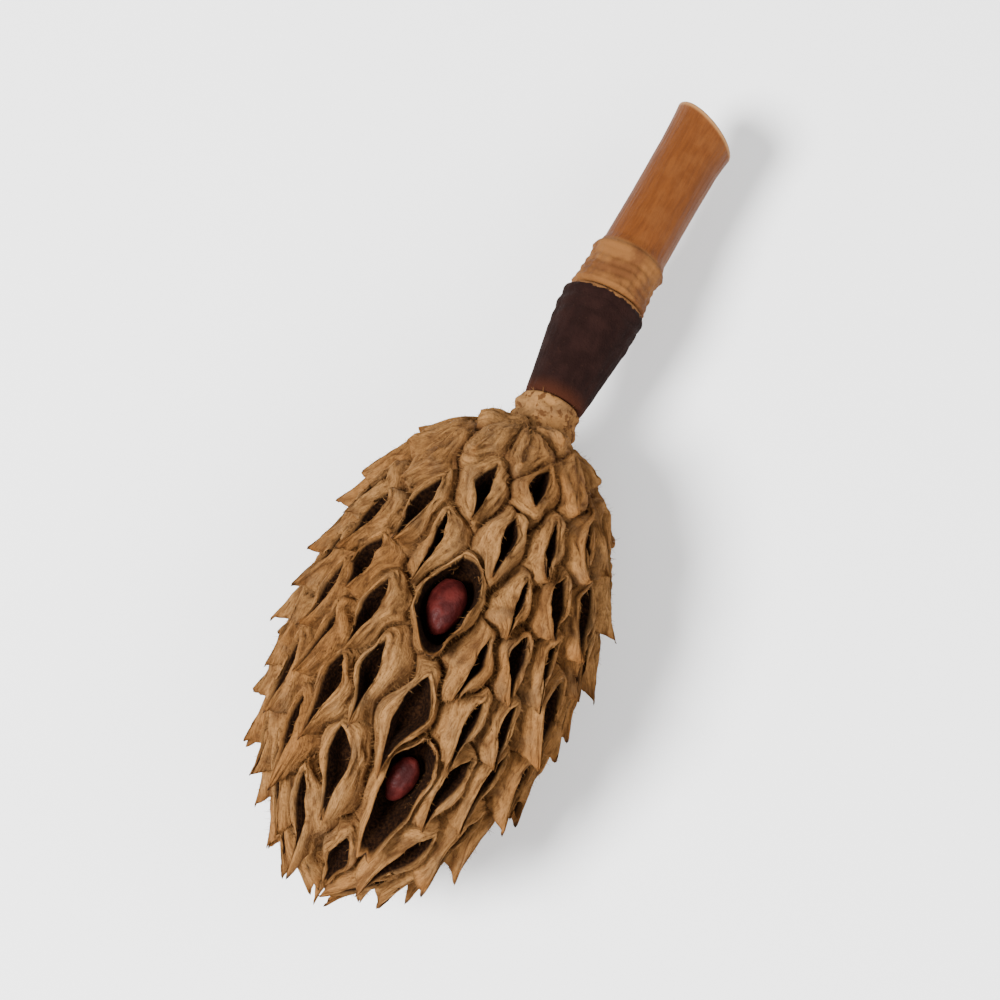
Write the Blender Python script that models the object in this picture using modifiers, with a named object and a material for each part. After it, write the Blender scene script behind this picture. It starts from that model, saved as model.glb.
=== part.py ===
"""A dried magnolia seed pod on its cut twig, lying on its side.

Metres, +Z up. The pod is modelled along its own axis, +X, from the cut twig to the pod's tip, with zero
where the head begins, on its collar. An empty then lays it down: the origin ends on the surface that the
pod rests on, under the middle of its bounding box.

The head is one skin, closed by construction. Its follicles sit on a golden-angle spiral. Each owns the cell
of the surface that is nearer to it than to any other follicle. The rings of its mesh run inwards from that
cell's edge: a groove between neighbours, the felted strand, the lip of the slit and the cavity behind it.
The lip rises into a beak at the end towards the tip.
"""

import math
import random

import bmesh
import bpy
import numpy as np
from mathutils import Matrix, Vector
from mathutils.bvhtree import BVHTree
from mathutils.geometry import delaunay_2d_cdt

# Head
HEAD_LENGTH = 0.0620  # from the collar to the tip, without the beaks
HEAD_RADIUS = 0.0176  # of the felted surface at its widest place
WIDEST_AT = 0.50  # share of the head's length, from the collar
STEM_HALF_POWER = 2.3  # a superellipse: 2 is an ellipse, more has broader shoulders
TIP_HALF_POWER = 2.0
COLLAR_RADIUS = 0.0041
COLLAR_ROWS = (0.3, 0.6, 1.0)  # where its bumpy rings lie, as shares of its length
COLLAR_BUMPS = 0.07  # of its radius
COLLAR_LENGTH = 0.0048
TIP_PLUG_RADIUS = 0.0012  # where the last follicles end round the tip
TIP_PLUG_RISE = 0.0004
OVALNESS = 0.03  # how far the head is off round

# Follicles
SEED = 13
FOLLICLE_AREA = 49e-6  # square metres of the head that each has
FIRST_FOLLICLE = 1.2  # how many follicles' area lies bare round the collar
CLOSED_UNTIL = 0.0060  # follicles nearer to the collar than this never opened
LAST_CLOSED = 0.0160  # and some as far away as this didn't either
SEAM_WIDTH = 0.4  # of the seam of a closed follicle, over the slit that it would have
CELL_STRETCH = 1.80  # length of a cell over its width
SCATTER = 0.24  # how far a follicle strays from the spiral, in cell widths
SHORTEST_EDGE = 0.0011  # of a cell; a shorter one becomes a corner
EVENING = 0.5  # how far each follicle moves to the middle of its cell, in each round
EVENING_ROUNDS = 2
GOLDEN_ANGLE = math.pi * (3 - math.sqrt(5))
EDGE_STEP = 0.0028  # length of one straight bit of a cell's edge
EDGE_WAVE = 0.12  # sideways swing of a cell's edge, over its length

GROOVE_DEPTH = 0.0021  # between two follicles
STRAND_HEIGHT = 0.0012  # of the felted strand round a slit
STRAND_POWER = 1.8  # 1 slopes straight from the lip to the groove, more keeps the strand high
LIP_DROP = 0.0003  # how far the lip curls in
LIP_RISE = 0.0012  # of the lip, from its stem end to its beak
CAVITY_DEPTH = 0.0034  # from the top of the strand to the floor
BEAK_LENGTH = 0.0037
BEAK_ROOM = 0.0048  # from the follicle to its cell's tip end, for a beak of full length
BEAK_LEAN = 74.0  # degrees from straight out, towards the tip
SLIT_REACH = 0.64  # how far the slit goes towards the ends of its cell
LONGEST_REACH = 0.0046  # of a slit's end from its follicle
GAPE_REACH = 0.80  # the same two for a follicle that gapes
LONGEST_GAPE = 0.0072
WIDEST_ROOM = 0.0030  # beside a slit, that its opening is a share of
WIDEST_GAPE_ROOM = 0.0042
SLIT_ROOM = 0.66  # share of its cell's width that a slit keeps within
GAPE_ROOM = 0.86  # the same for a follicle that gapes
SLIT_RUN_OUT = 0.45  # how much shallower the cavity is at its beak
NARROWEST_SLIT = 0.0007
TIP_BEAKS = 0.3  # how much longer the beaks are round the tip
BEAK_WIDTH = 27.0  # degrees round the lip
STRAND_SHARES = (0.5, 0.0)  # where the rings of the strand lie, from the lip at 0 to the groove at 1
CAVITY_SHARES = (0.6, 1.0)  # where the rings of the cavity lie, from the lip at 0 to the floor at 1
REMAKE_SHARE = 0.9  # of the slit and beak that a follicle keeps when its walls cross
MOST_REMAKES = 12

# How follicles differ: the least and the most, and for the opening also the likeliest
OPENINGS = (0.15, 0.74, 0.28)  # half a slit's width over the room beside it
BOWS = (-0.40, 0.40)  # sideways bow of a slit, over half its width
LEANS = (-12.0, 8.0)  # degrees added to a beak's lean
SIDES = (-0.18, 0.18)  # sideways lean of a beak, over its length
BEAK_LENGTHS = (0.7, 1.2)  # these four are shares of the lengths above
RISES = (0.6, 1.4)
HEIGHTS = (0.7, 1.3)
DEPTHS = (0.85, 1.10)
DEEPEST = 0.33  # of the head's radius there

# The follicles that gape and hold a seed: how far from the collar, the degrees round the axis, and how far
# towards the tip the seed lies in its slit, as a share of the slit's length
SEED_PLACES = ((0.0300, 159.0, 0.05), (0.0510, 142.0, 0.0), (0.0400, 267.0, -0.1), (0.0360, 48.0, 0.0))
GAPE_PUSH = 0.50  # how far the neighbours stand back, in cell widths
GAPE_PUSH_REACH = 1.5  # over how many cell widths the push fades
GAPE_DEPTH = 0.0054  # of the cavity round a seed
SEED_FILL = 0.69  # a seed's width over its slit's
WIDEST_SEED = 0.0046
SEED_LENGTH = 1.65  # over its width
SEED_THICKNESS = 0.84  # over its width
SEED_SINK = 0.0018  # of a seed's middle, below the felted surface

# Stalk and twig, each along its own +Z away from the head
STALK_LENGTH = 0.0160
STALK_HEAD_RADIUS = 0.0040
STALK_RADIUS = 0.0056
TWIG_LENGTH = 0.0280
TWIG_RADIUS = 0.0044
CUT_SLANT = 20.0  # degrees that the cut end is off square
CUTTER_SIZE = 0.0200
NODE_LENGTH = 0.0068
NODE_RADIUS = 0.0049
STALK_BEND = 1.5  # degrees off the head's axis
TWIG_BEND = 4.5
BEND_AT = 67.0  # the side that the stem bends to, in degrees round the axis
TURNED_STEPS = 24

FLAT_CUT = 0.0008  # taken off the beaks that the pod rests on
STEADY_MARGIN = 0.0010  # how far inside its three resting points the pod's weight falls
UP_AT = 157.0  # the side of the head that ends on top, in degrees round the axis
GAP = 0.0003  # between pieces that touch

FELT_TAN = (0.42, 0.26, 0.12)
DARK_VELVET = (0.045, 0.022, 0.017)
ORANGE_BARK = (0.50, 0.20, 0.055)
MAROON = (0.16, 0.022, 0.018)


def smooth_step(low, high, value):
    """0 below low, 1 above high, and an S-curve between."""
    share = np.clip((value - low) / (high - low), 0.0, 1.0)
    return share * share * (3 - 2 * share)


def from_stem(least, low, high, place):
    """A share that is least up to the place low, and 1 from the place high on, of 0 at the collar to 1."""
    return least + (1 - least) * smooth_step(low, high, place)


class Outline:
    """The head's side view: tables along it of place, radius, arc length, conformal length and area."""

    STEPS = 4000

    def __init__(self):
        widest = WIDEST_AT * HEAD_LENGTH
        at_collar = 1 - (COLLAR_RADIUS / HEAD_RADIUS) ** STEM_HALF_POWER
        stem_reach = widest / at_collar ** (1 / STEM_HALF_POWER)
        tip_reach = HEAD_LENGTH - widest
        turn = np.linspace(0, math.pi, self.STEPS)
        power = np.where(turn < math.pi / 2, STEM_HALF_POWER, TIP_HALF_POWER)
        reach = np.where(turn < math.pi / 2, stem_reach, tip_reach)
        across = np.cos(turn)
        x = widest - np.sign(across) * reach * np.abs(across) ** (2 / power)
        r = HEAD_RADIUS * np.maximum(np.sin(turn), 0) ** (2 / power)
        kept = (x >= 0) & ((turn < math.pi / 2) | (r >= TIP_PLUG_RADIUS))
        self.x, self.r = x[kept], r[kept]
        step = np.hypot(np.diff(self.x), np.diff(self.r))
        middle = (self.r[1:] + self.r[:-1]) / 2
        self.s = self.running(step)
        self.v = self.running(step / middle)
        self.area = self.running(step * middle * 2 * math.pi)
        self.slope_x = np.gradient(self.x, self.s)
        self.slope_r = np.gradient(self.r, self.s)

    @staticmethod
    def running(steps):
        return np.concatenate([[0.0], np.cumsum(steps)])

    def radius(self, s):
        return np.interp(s, self.s, self.r)

    def axes(self, s, turn):
        """Unit vectors there: round the axis, towards the tip, and straight out."""
        dx = np.interp(s, self.s, self.slope_x)
        dr = np.interp(s, self.s, self.slope_r)
        cos, sin = np.cos(turn), np.sin(turn)
        zero = np.zeros_like(cos)
        around = np.stack([zero, -sin, cos], axis=-1)
        along = np.stack([dx, dr * cos, dr * sin], axis=-1)
        out = np.stack([-dr, dx * cos, dx * sin], axis=-1)
        return around, along, out

    def point(self, s, turn, height):
        """The point over arc length s and angle turn, this far out of the surface."""
        s, turn, height = np.broadcast_arrays(s, turn, height)
        oval = 1 + OVALNESS * np.cos(2 * turn + s / HEAD_LENGTH)
        r = self.radius(s) * oval
        on = np.stack([np.interp(s, self.s, self.x), r * np.cos(turn), r * np.sin(turn)], axis=-1)
        return on + height[..., None] * self.axes(s, turn)[2]


def follicle_spots(outline):
    """(angle, conformal length) of each follicle, on the spiral with a little scatter."""
    rng = random.Random(SEED)
    spots = []
    areas = np.arange(FIRST_FOLLICLE * FOLLICLE_AREA, outline.area[-1] - FOLLICLE_AREA / 2, FOLLICLE_AREA)
    for i, area in enumerate(areas):
        v = np.interp(area, outline.area, outline.v)
        r = np.interp(area, outline.area, outline.r)
        width = math.sqrt(FOLLICLE_AREA / CELL_STRETCH) / r
        turn = i * GOLDEN_ANGLE + width * SCATTER * rng.uniform(-1, 1)
        v += width * CELL_STRETCH * SCATTER * rng.uniform(-1, 1)
        spots.append([turn % (2 * math.pi), v])
    return np.array(spots)


def wrapped(angle):
    """The same angle, from -pi to pi."""
    return (angle + math.pi) % (2 * math.pi) - math.pi


def make_room(outline, spots, x, degrees):
    """Pushes the neighbours of the follicle nearest to a place away from it. Returns its number."""
    v = np.interp(x, outline.x, outline.v)
    r = np.interp(x, outline.x, outline.r)
    across = wrapped(spots[:, 0] - math.radians(degrees))
    away = np.stack([across, (spots[:, 1] - v) / CELL_STRETCH], axis=1)
    chosen = int(np.argmin(np.hypot(away[:, 0], away[:, 1])))
    away -= away[chosen]
    spots[chosen] = [math.radians(degrees), v]
    away[:, 0] = wrapped(away[:, 0])
    width = math.sqrt(FOLLICLE_AREA / CELL_STRETCH) / r
    far = np.hypot(away[:, 0], away[:, 1])
    far[chosen] = 1.0
    push = GAPE_PUSH * width * np.exp(-((far / (GAPE_PUSH_REACH * width)) ** 2)) / far
    push[chosen] = 0.0
    spots[:, 0] += push * away[:, 0]
    spots[:, 1] += push * away[:, 1] * CELL_STRETCH
    return chosen


def circumcentre(a, b, c):
    """The centre of the circle through three points of the plane."""
    ab, ac = b - a, c - a
    double = 2 * (ab[0] * ac[1] - ab[1] * ac[0])
    aa, cc = ab @ ab, ac @ ac
    return a + np.array([ac[1] * aa - ab[1] * cc, ab[0] * cc - ac[0] * aa]) / double


class Cells:
    """The cell of each follicle. corners[k] is (angle, conformal length). rings[i] lists a follicle's corners
    in order. Every cell that meets at a corner has that corner's number."""

    def __init__(self, outline, spots):
        low, high = outline.v[0], outline.v[-1]
        count = len(spots)
        flat = np.array([[turn, v / CELL_STRETCH] for turn, v in spots])
        below = flat * [1, -1] + [0, 2 * low / CELL_STRETCH]
        above = flat * [1, -1] + [0, 2 * high / CELL_STRETCH]
        layer = np.concatenate([flat, below, above])
        points = np.concatenate([layer + [2 * math.pi * k, 0] for k in (-1, 0, 1)])
        owner = np.tile(np.arange(3 * count), 3)
        middle = range(3 * count, 4 * count)
        triangles = delaunay_2d_cdt([Vector(p) for p in points], [], [], 0, 1e-9)[2]
        self.corners, numbers = [], {}
        around = {i: [] for i in middle}
        for triangle in triangles:
            if not any(k in around for k in triangle):
                continue
            centre = circumcentre(*(points[k] for k in triangle))
            key = frozenset(int(owner[k]) for k in triangle)
            if key not in numbers:
                numbers[key] = len(self.corners)
                self.corners.append([centre[0], centre[1] * CELL_STRETCH])
            for k in triangle:
                if k in around:
                    around[k].append((centre, numbers[key]))
        self.corners = np.array(self.corners)
        self.corners[:, 1] = np.clip(self.corners[:, 1], low, high)
        self.spots = spots
        joined = self.join_close_corners(outline, around, low, high)
        self.rings = []
        for k in middle:
            ordered = sorted(around[k], key=lambda it: math.atan2(*(it[0] - points[k])[::-1]))
            ring = []
            for _, number in ordered:
                if joined[number] not in ring[-1:]:
                    ring.append(joined[number])
            if ring[0] == ring[-1]:
                ring.pop()
            self.rings.append(ring)

    def join_close_corners(self, outline, around, low, high):
        """Makes one corner of two that a very short edge joins. Returns each corner's new number."""
        joined = list(range(len(self.corners)))

        def top(n):
            while joined[n] != n:
                n = joined[n]
            return n

        def on_rim(n):
            return min(abs(self.corners[n, 1] - low), abs(self.corners[n, 1] - high)) < 1e-6

        places = outline.point(np.interp(self.corners[:, 1], outline.v, outline.s), self.corners[:, 0], 0.0)
        seen = sorted({n for pairs in around.values() for _, n in pairs})
        for a in seen:
            for b in seen:
                if b <= a or np.linalg.norm(places[a] - places[b]) > SHORTEST_EDGE:
                    continue
                first, second = top(a), top(b)
                if first == second:
                    continue
                if on_rim(second) and not on_rim(first):
                    first, second = second, first
                joined[second] = first
        return [top(n) for n in range(len(joined))]


def evened(outline, spots):
    """The spots, each moved towards the middle of its cell's corners, so that no cell has a long tail."""
    cells = Cells(outline, spots)
    moved = spots.copy()
    for i, ring in enumerate(cells.rings):
        corners = cells.corners[ring]
        moved[i, 0] += EVENING * np.mean(wrapped(corners[:, 0] - spots[i, 0]))
        moved[i, 1] += EVENING * np.mean(corners[:, 1] - spots[i, 1])
    return moved


class Skin:
    """The head's mesh while it grows."""

    def __init__(self, outline, cells, edge_step):
        self.outline, self.cells, self.edge_step = outline, cells, edge_step
        self.points, self.faces, self.edges, self.corner_numbers = [], [], {}, {}
        self.owners = []  # the follicle that each face belongs to

    def add(self, points):
        """Adds points and returns their numbers."""
        first = len(self.points)
        self.points.extend(np.asarray(points).reshape(-1, 3))
        return list(range(first, len(self.points)))

    def groove(self, s):
        """How deep the groove between two follicles is: shallow near the stem."""
        x = np.interp(s, self.outline.s, self.outline.x)
        return GROOVE_DEPTH * from_stem(0.25, 0.1, 0.4, x / HEAD_LENGTH)

    def edge_points(self, a, b):
        """Numbers and places of the points from corner a up to, but without, corner b. Both neighbours use
        them."""
        if (a, b) in self.edges:
            return self.edges[a, b]
        if (b, a) in self.edges:
            numbers, flats = self.edges[b, a]
            numbers = [self.corner(a)[0]] + numbers[:0:-1]
            flats = [self.corner(a)[1]] + flats[:0:-1]
            self.edges[a, b] = (numbers, flats)
            return self.edges[a, b]
        numbers, flats = [self.corner(a)[0]], [self.corner(a)[1]]
        start, end = np.array(self.corner(a)[1]), np.array(self.corner(b)[1])
        way = np.array([wrapped(end[0] - start[0]), end[1] - start[1]])
        r = self.outline.radius((start[1] + end[1]) / 2)
        across = np.array([way[0] * r, way[1]])
        length = np.hypot(*across)
        bits = max(1, round(length / self.edge_step))
        rim = (self.outline.s[0], self.outline.s[-1])
        on_rim = any(abs(start[1] - end_s) < 1e-9 and abs(end[1] - end_s) < 1e-9 for end_s in rim)
        swing = 0.0 if on_rim else EDGE_WAVE * length * random.Random(a * 1009 + b).uniform(-1, 1)
        for k in range(1, bits):
            share = k / bits
            side = swing * math.sin(2 * math.pi * share) if bits > 2 else swing / 2
            turn = start[0] + way[0] * share - side * across[1] / length / r
            s = start[1] + way[1] * share + side * across[0] / length
            flats.append((turn, s))
            numbers += self.add(self.outline.point(s, turn, -self.groove(s)))
        self.edges[a, b] = (numbers, flats)
        return self.edges[a, b]

    def corner(self, k):
        """(number, (angle, arc length)) of a cell corner."""
        if k not in self.corner_numbers:
            turn, v = self.cells.corners[k]
            s = float(np.interp(v, self.outline.v, self.outline.s))
            (number,) = self.add(self.outline.point(s, turn, -self.groove(s)))
            self.corner_numbers[k] = (number, (turn, s))
        return self.corner_numbers[k]

    def cell_edge(self, i):
        """Numbers and (across, along) places, from the follicle's own spot, of the points round its cell."""
        ring = self.cells.rings[i]
        numbers, flats = [], []
        for a, b in zip(ring, ring[1:] + ring[:1]):
            more, places = self.edge_points(a, b)
            numbers += more
            flats += places
        turn, v = self.cells.spots[i]
        s = np.interp(v, self.outline.v, self.outline.s)
        flats = np.array(flats)
        along = flats[:, 1] - s
        across = wrapped(flats[:, 0] - turn) * self.outline.radius(flats[:, 1])
        return numbers, np.stack([across, along], axis=1)

    def bridge(self, outer, inner, nearness, from_inner):
        """A band of triangles between two rings with as many points. Each four are split from the point that
        is nearer to the beak, on the inner or the outer ring, so that the beak's sides stay convex."""
        count = len(outer)
        for k in range(count):
            j = (k + 1) % count
            a, b, c, d = outer[k], outer[j], inner[j], inner[k]
            if (nearness[k] > nearness[j]) == from_inner:
                self.faces += [(a, b, d), (b, c, d)]
            else:
                self.faces += [(a, b, c), (a, c, d)]


class Follicle:
    """One follicle's own shape. It draws its own numbers, so it doesn't hang on the follicles before it."""

    def __init__(self, skin, i, gapes, kept):
        self.skin, self.number, self.gapes = skin, i, gapes
        self.turn, v = skin.cells.spots[i]
        outline = skin.outline
        self.s = float(np.interp(v, outline.v, outline.s))
        x = np.interp(self.s, outline.s, outline.x) / HEAD_LENGTH
        self.numbers, self.edge = skin.cell_edge(i)
        rng = random.Random(SEED * 1000 + i)
        self.closed = x * HEAD_LENGTH < rng.uniform(CLOSED_UNTIL, LAST_CLOSED)
        self.opening = rng.triangular(*OPENINGS) * from_stem(0.65, 0.1, 0.3, x)
        self.bow = rng.uniform(*BOWS)
        self.lean = math.radians(BEAK_LEAN + rng.uniform(*LEANS))
        self.side = rng.uniform(*SIDES)
        self.beak = BEAK_LENGTH * rng.uniform(*BEAK_LENGTHS) * from_stem(0.2, 0.08, 0.35, x)
        self.beak *= 1 + TIP_BEAKS * smooth_step(0.6, 0.9, x)
        self.rise = LIP_RISE * rng.uniform(*RISES)
        self.height = STRAND_HEIGHT * rng.uniform(*HEIGHTS) * from_stem(0.5, 0.05, 0.3, x)
        self.depth = min(CAVITY_DEPTH * rng.uniform(*DEPTHS), DEEPEST * float(outline.radius(self.s)))
        if self.closed:
            self.opening *= SEAM_WIDTH
        self.narrowing, self.roundness, self.slit_room = 0.35, 2.0, SLIT_ROOM
        if gapes:
            self.narrowing, self.roundness, self.slit_room = 0.08, 0.9, GAPE_ROOM
            self.opening, self.depth, self.height = GAPE_ROOM, GAPE_DEPTH, STRAND_HEIGHT
            self.bow *= 0.6
        self.beak *= kept
        self.side *= kept
        self.bow *= kept
        self.opening *= kept
        self.measure_cell()

    def measure_cell(self):
        """Where each edge point lies round the slit, and how far the slit reaches in the cell."""
        across, along = self.edge[:, 0], self.edge[:, 1]
        up = int(np.argmax(along - 0.7 * np.abs(across)))
        down = int(np.argmax(-along - 0.7 * np.abs(across)))
        self.angle = np.empty(len(self.edge))
        self.right = self.spread(down, up, -math.pi / 2)
        self.left = self.spread(up, down, math.pi / 2)
        share, longest, widest = SLIT_REACH, LONGEST_REACH, WIDEST_ROOM
        if self.gapes:
            share, longest, widest = GAPE_REACH, LONGEST_GAPE, WIDEST_GAPE_ROOM
        self.tip_reach = min(share * along[up], longest)
        self.stem_reach = min(-share * along[down], longest)
        self.tip_skew = across[up] / along[up]
        self.stem_skew = across[down] / along[down]
        room = min(abs(self.side_at(side, 0.0)) for side in (self.left, self.right))
        self.half_width = max(self.opening * min(room, widest), NARROWEST_SLIT / 2)
        self.beak *= min(1.0, along[up] / BEAK_ROOM)

    def spread(self, first, last, start):
        """Shares half a turn, from the angle start, among the edge points from first to last by their
        distances. Returns that side of the cell as (along, across) places, from the stem end up."""
        count = len(self.edge)
        chain = [(first + k) % count for k in range((last - first) % count + 1)]
        steps = np.linalg.norm(np.diff(self.edge[chain], axis=0), axis=1)
        self.angle[chain] = start + math.pi * np.concatenate([[0.0], np.cumsum(steps) / steps.sum()])
        return np.array(sorted((self.edge[k, 1], self.edge[k, 0]) for k in chain))

    @staticmethod
    def side_at(side, along):
        """How far across that side of the cell is, at these places along it."""
        return np.interp(along, side[:, 0], side[:, 1])

    def slit(self, scale):
        """(across, along) places round the slit, drawn in by this scale."""
        cos, sin = np.cos(self.angle), np.sin(self.angle)
        along = np.where(sin > 0, self.tip_reach, self.stem_reach) * sin * scale
        axis = np.where(sin > 0, self.tip_skew, self.stem_skew) * along
        wish = np.sign(cos) * (0.1 * np.abs(cos) + 0.9 * np.abs(cos) ** self.roundness) + self.bow * cos**2
        wish = wish * self.half_width * scale
        most = self.slit_room * (self.side_at(self.right, along) - axis)
        least = self.slit_room * (self.side_at(self.left, along) - axis)
        return np.stack([axis + np.clip(wish, least, most), along], axis=1)

    def ring(self, places, height, beak_share, side_share):
        """Points over these places of the cell, the beak drawn out and leant sideways by these shares."""
        s = np.clip(self.s + places[:, 1], self.skin.outline.s[0], self.skin.outline.s[-1])
        turn = self.turn + places[:, 0] / self.skin.outline.radius(s)
        points = self.skin.outline.point(s, turn, height)
        around, along, out = self.skin.outline.axes(np.array(self.s), np.array(self.turn))
        off = wrapped(self.angle - math.pi / 2)
        pull = (np.exp(-((off / math.radians(BEAK_WIDTH)) ** 2)) * self.beak)[:, None]
        forward = math.sin(self.lean) * along + math.cos(self.lean) * out
        return points + pull * (beak_share * forward + side_share * self.side * around)

    def lip_lift(self):
        return self.rise * ((1 + np.sin(self.angle)) / 2) ** 1.5

    def strand(self, share):
        """A ring on the felted strand: share 1 is the cell's edge and 0 the lip."""
        lip = self.slit(1.0)
        places = lip + (self.edge - lip) * share
        height = self.height + self.lip_lift() * (1 - share)
        edge_height = -self.skin.groove(self.s + places[:, 1])
        height = height + (edge_height - height) * share**STRAND_POWER
        height = height - LIP_DROP * max(0.0, 1 - share / 0.3) ** 2
        return self.ring(places, height, (1 - share) ** 1.5, (1 - share) ** 1.5)

    def cavity(self, share):
        """A ring in the cavity: share 0 is the lip and 1 the floor."""
        run_out = 1 - SLIT_RUN_OUT * min(1.0, 2.5 * (1 - share)) * ((1 + np.sin(self.angle)) / 2) ** 3
        height = self.height + self.lip_lift() * (1 - share) - self.depth * share * run_out
        places = self.slit(1 - self.narrowing * share)
        return self.ring(places, height, (1 - share) ** 1.5, (1 - share) ** 1.5)

    def seed_size(self):
        """The thickness, width and length of a seed that fills this follicle's slit."""
        width = min(SEED_FILL * 2 * self.half_width, WIDEST_SEED)
        return SEED_THICKNESS * width, width, SEED_LENGTH * width

    def seat(self, shift):
        """Where a seed lies, this share of the slit's length from its middle: +Z along the slit, +X out."""
        length = self.tip_reach + self.stem_reach
        along = (self.tip_reach - self.stem_reach) / 2 + shift * length
        beside = np.abs(self.slit(1.0)[:, 1] - along) < self.seed_size()[2] / 3
        lips = self.slit(1.0)[beside, 0]
        outline = self.skin.outline
        s = self.s + along
        turn = self.turn + (lips.min() + lips.max()) / 2 / float(outline.radius(s))
        around, tipward, out = (Vector(axis) for axis in outline.axes(np.array(s), np.array(turn)))
        slant = (self.tip_skew * self.tip_reach + self.stem_skew * self.stem_reach) / length
        upright = Matrix((out, around, tipward)).transposed().to_4x4()
        place = Matrix.Translation(outline.point(s, turn, -SEED_SINK))
        return place @ upright @ Matrix.Rotation(-math.atan(slant), 4, "X")

    def build(self, strand_shares, cavity_shares):
        """Adds the follicle's rings and its floor to the skin."""
        if self.closed:
            strand_shares, cavity_shares = strand_shares[:1] + (0.2,), ()
        nearness = np.sin(self.angle)
        outer = self.numbers
        for share in strand_shares:
            inner = self.skin.add(self.strand(share))
            self.skin.bridge(outer, inner, nearness, True)
            outer = inner
        for share in cavity_shares:
            inner = self.skin.add(self.cavity(share))
            self.skin.bridge(outer, inner, nearness, False)
            outer = inner
        (floor,) = self.skin.add(np.mean([self.skin.points[k] for k in outer], axis=0))
        self.skin.faces += [(a, b, floor) for a, b in zip(outer, outer[1:] + outer[:1])]
        self.skin.owners += [self.number] * (len(self.skin.faces) - len(self.skin.owners))


def rim_loop(skin, s):
    """The numbers round one open rim of the skin, in order of angle, with the angles."""
    found = {}
    for numbers, flats in skin.edges.values():
        for number, (turn, at) in zip(numbers, flats):
            if abs(at - s) < 1e-9:
                found[number] = turn % (2 * math.pi)
    numbers = sorted(found, key=found.get)
    return numbers, [found[n] for n in numbers]


def close_rims(skin):
    """Rounds the tip off, and carries the skin on as the bumpy collar to its flat foot."""
    outline = skin.outline
    numbers, angles = rim_loop(skin, outline.s[-1])
    (tip,) = skin.add([[outline.x[-1] + TIP_PLUG_RISE, 0, 0]])
    skin.faces += [(b, a, tip) for b, a in zip(numbers, numbers[1:] + numbers[:1])]
    outer, angles = rim_loop(skin, outline.s[0])
    rng = random.Random(SEED)
    for share in COLLAR_ROWS:
        bumps = COLLAR_BUMPS if share < 1 else 0.0
        ring = []
        for turn in angles:
            r = COLLAR_RADIUS * (1 + bumps * rng.uniform(-1, 1))
            ring.append([-COLLAR_LENGTH * share, r * math.cos(turn), r * math.sin(turn)])
        inner = skin.add(ring)
        skin.bridge(inner, outer, np.zeros(len(outer)), True)
        outer = inner
    (middle,) = skin.add([[-COLLAR_LENGTH, 0, 0]])
    skin.faces += [(b, a, middle) for a, b in zip(outer, outer[1:] + outer[:1])]


def crossing_follicles(skin):
    """The follicles of the faces that run through one another."""
    tree = BVHTree.FromPolygons([Vector(p) for p in skin.points], skin.faces)
    found = set()
    for a, b in tree.overlap(tree):
        if a < b < len(skin.owners) and not set(skin.faces[a]) & set(skin.faces[b]):
            found |= {skin.owners[a], skin.owners[b]}
    return found


def head_skin(edge_step, strand_shares, cavity_shares):
    """The head's skin. Where a narrow follicle's walls would cross, the skin is made again with that slit
    and beak a little smaller, until none cross."""
    outline = Outline()
    spots = follicle_spots(outline)
    for _ in range(EVENING_ROUNDS):
        spots = evened(outline, spots)
    gaping = [make_room(outline, spots, x, degrees) for x, degrees, _ in SEED_PLACES]
    cells = Cells(outline, spots)
    kept = [1.0] * len(spots)
    for _ in range(MOST_REMAKES):
        skin = Skin(outline, cells, edge_step)
        follicles = [Follicle(skin, i, i in gaping, kept[i]) for i in range(len(spots))]
        skin.gaping = [follicles[i] for i in gaping]
        for follicle in follicles:
            follicle.build(strand_shares, cavity_shares)
        crossing = crossing_follicles(skin)
        if not crossing:
            break
        for i in crossing:
            kept[i] *= REMAKE_SHARE
    close_rims(skin)
    return skin


def mesh_object(name, points, edges, faces, collection):
    mesh = bpy.data.meshes.new(name)
    mesh.from_pydata([tuple(map(float, p)) for p in points], edges, faces)
    obj = bpy.data.objects.new(name, mesh)
    collection.objects.link(obj)
    return obj


def finished(obj, colour, roughness):
    """Gives the object its own material, and smooth shading away from its sharp edges."""
    material = bpy.data.materials.new(obj.name)
    material.use_nodes = True
    shader = material.node_tree.nodes["Principled BSDF"]
    shader.inputs["Base Color"].default_value = (*colour, 1.0)
    shader.inputs["Roughness"].default_value = roughness
    shader.inputs["Metallic"].default_value = 0.0
    obj.data.materials.append(material)
    obj.data.shade_smooth()
    obj.data.set_sharp_from_angle(angle=math.radians(40))
    return obj


def turned(name, profile, collection):
    """A solid of revolution round +Z. The profile is (height, radius) from the top down to the axis."""
    points = [(radius, 0, height) for height, radius in profile]
    edges = [(k, k + 1) for k in range(len(points) - 1)]
    obj = mesh_object(name, points, edges, [], collection)
    screw = obj.modifiers.new("Turned", "SCREW")
    screw.steps = screw.render_steps = TURNED_STEPS
    screw.use_merge_vertices = True
    screw.merge_threshold = 0.00001
    return obj


def away_from_head(degrees):
    """Turns +Z to point back along the stem, bent this far off the head's axis."""
    bent_down = Matrix.Rotation(math.radians(-90 - degrees), 4, "Y")
    return Matrix.Rotation(math.radians(90 + BEND_AT), 4, "X") @ bent_down


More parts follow.
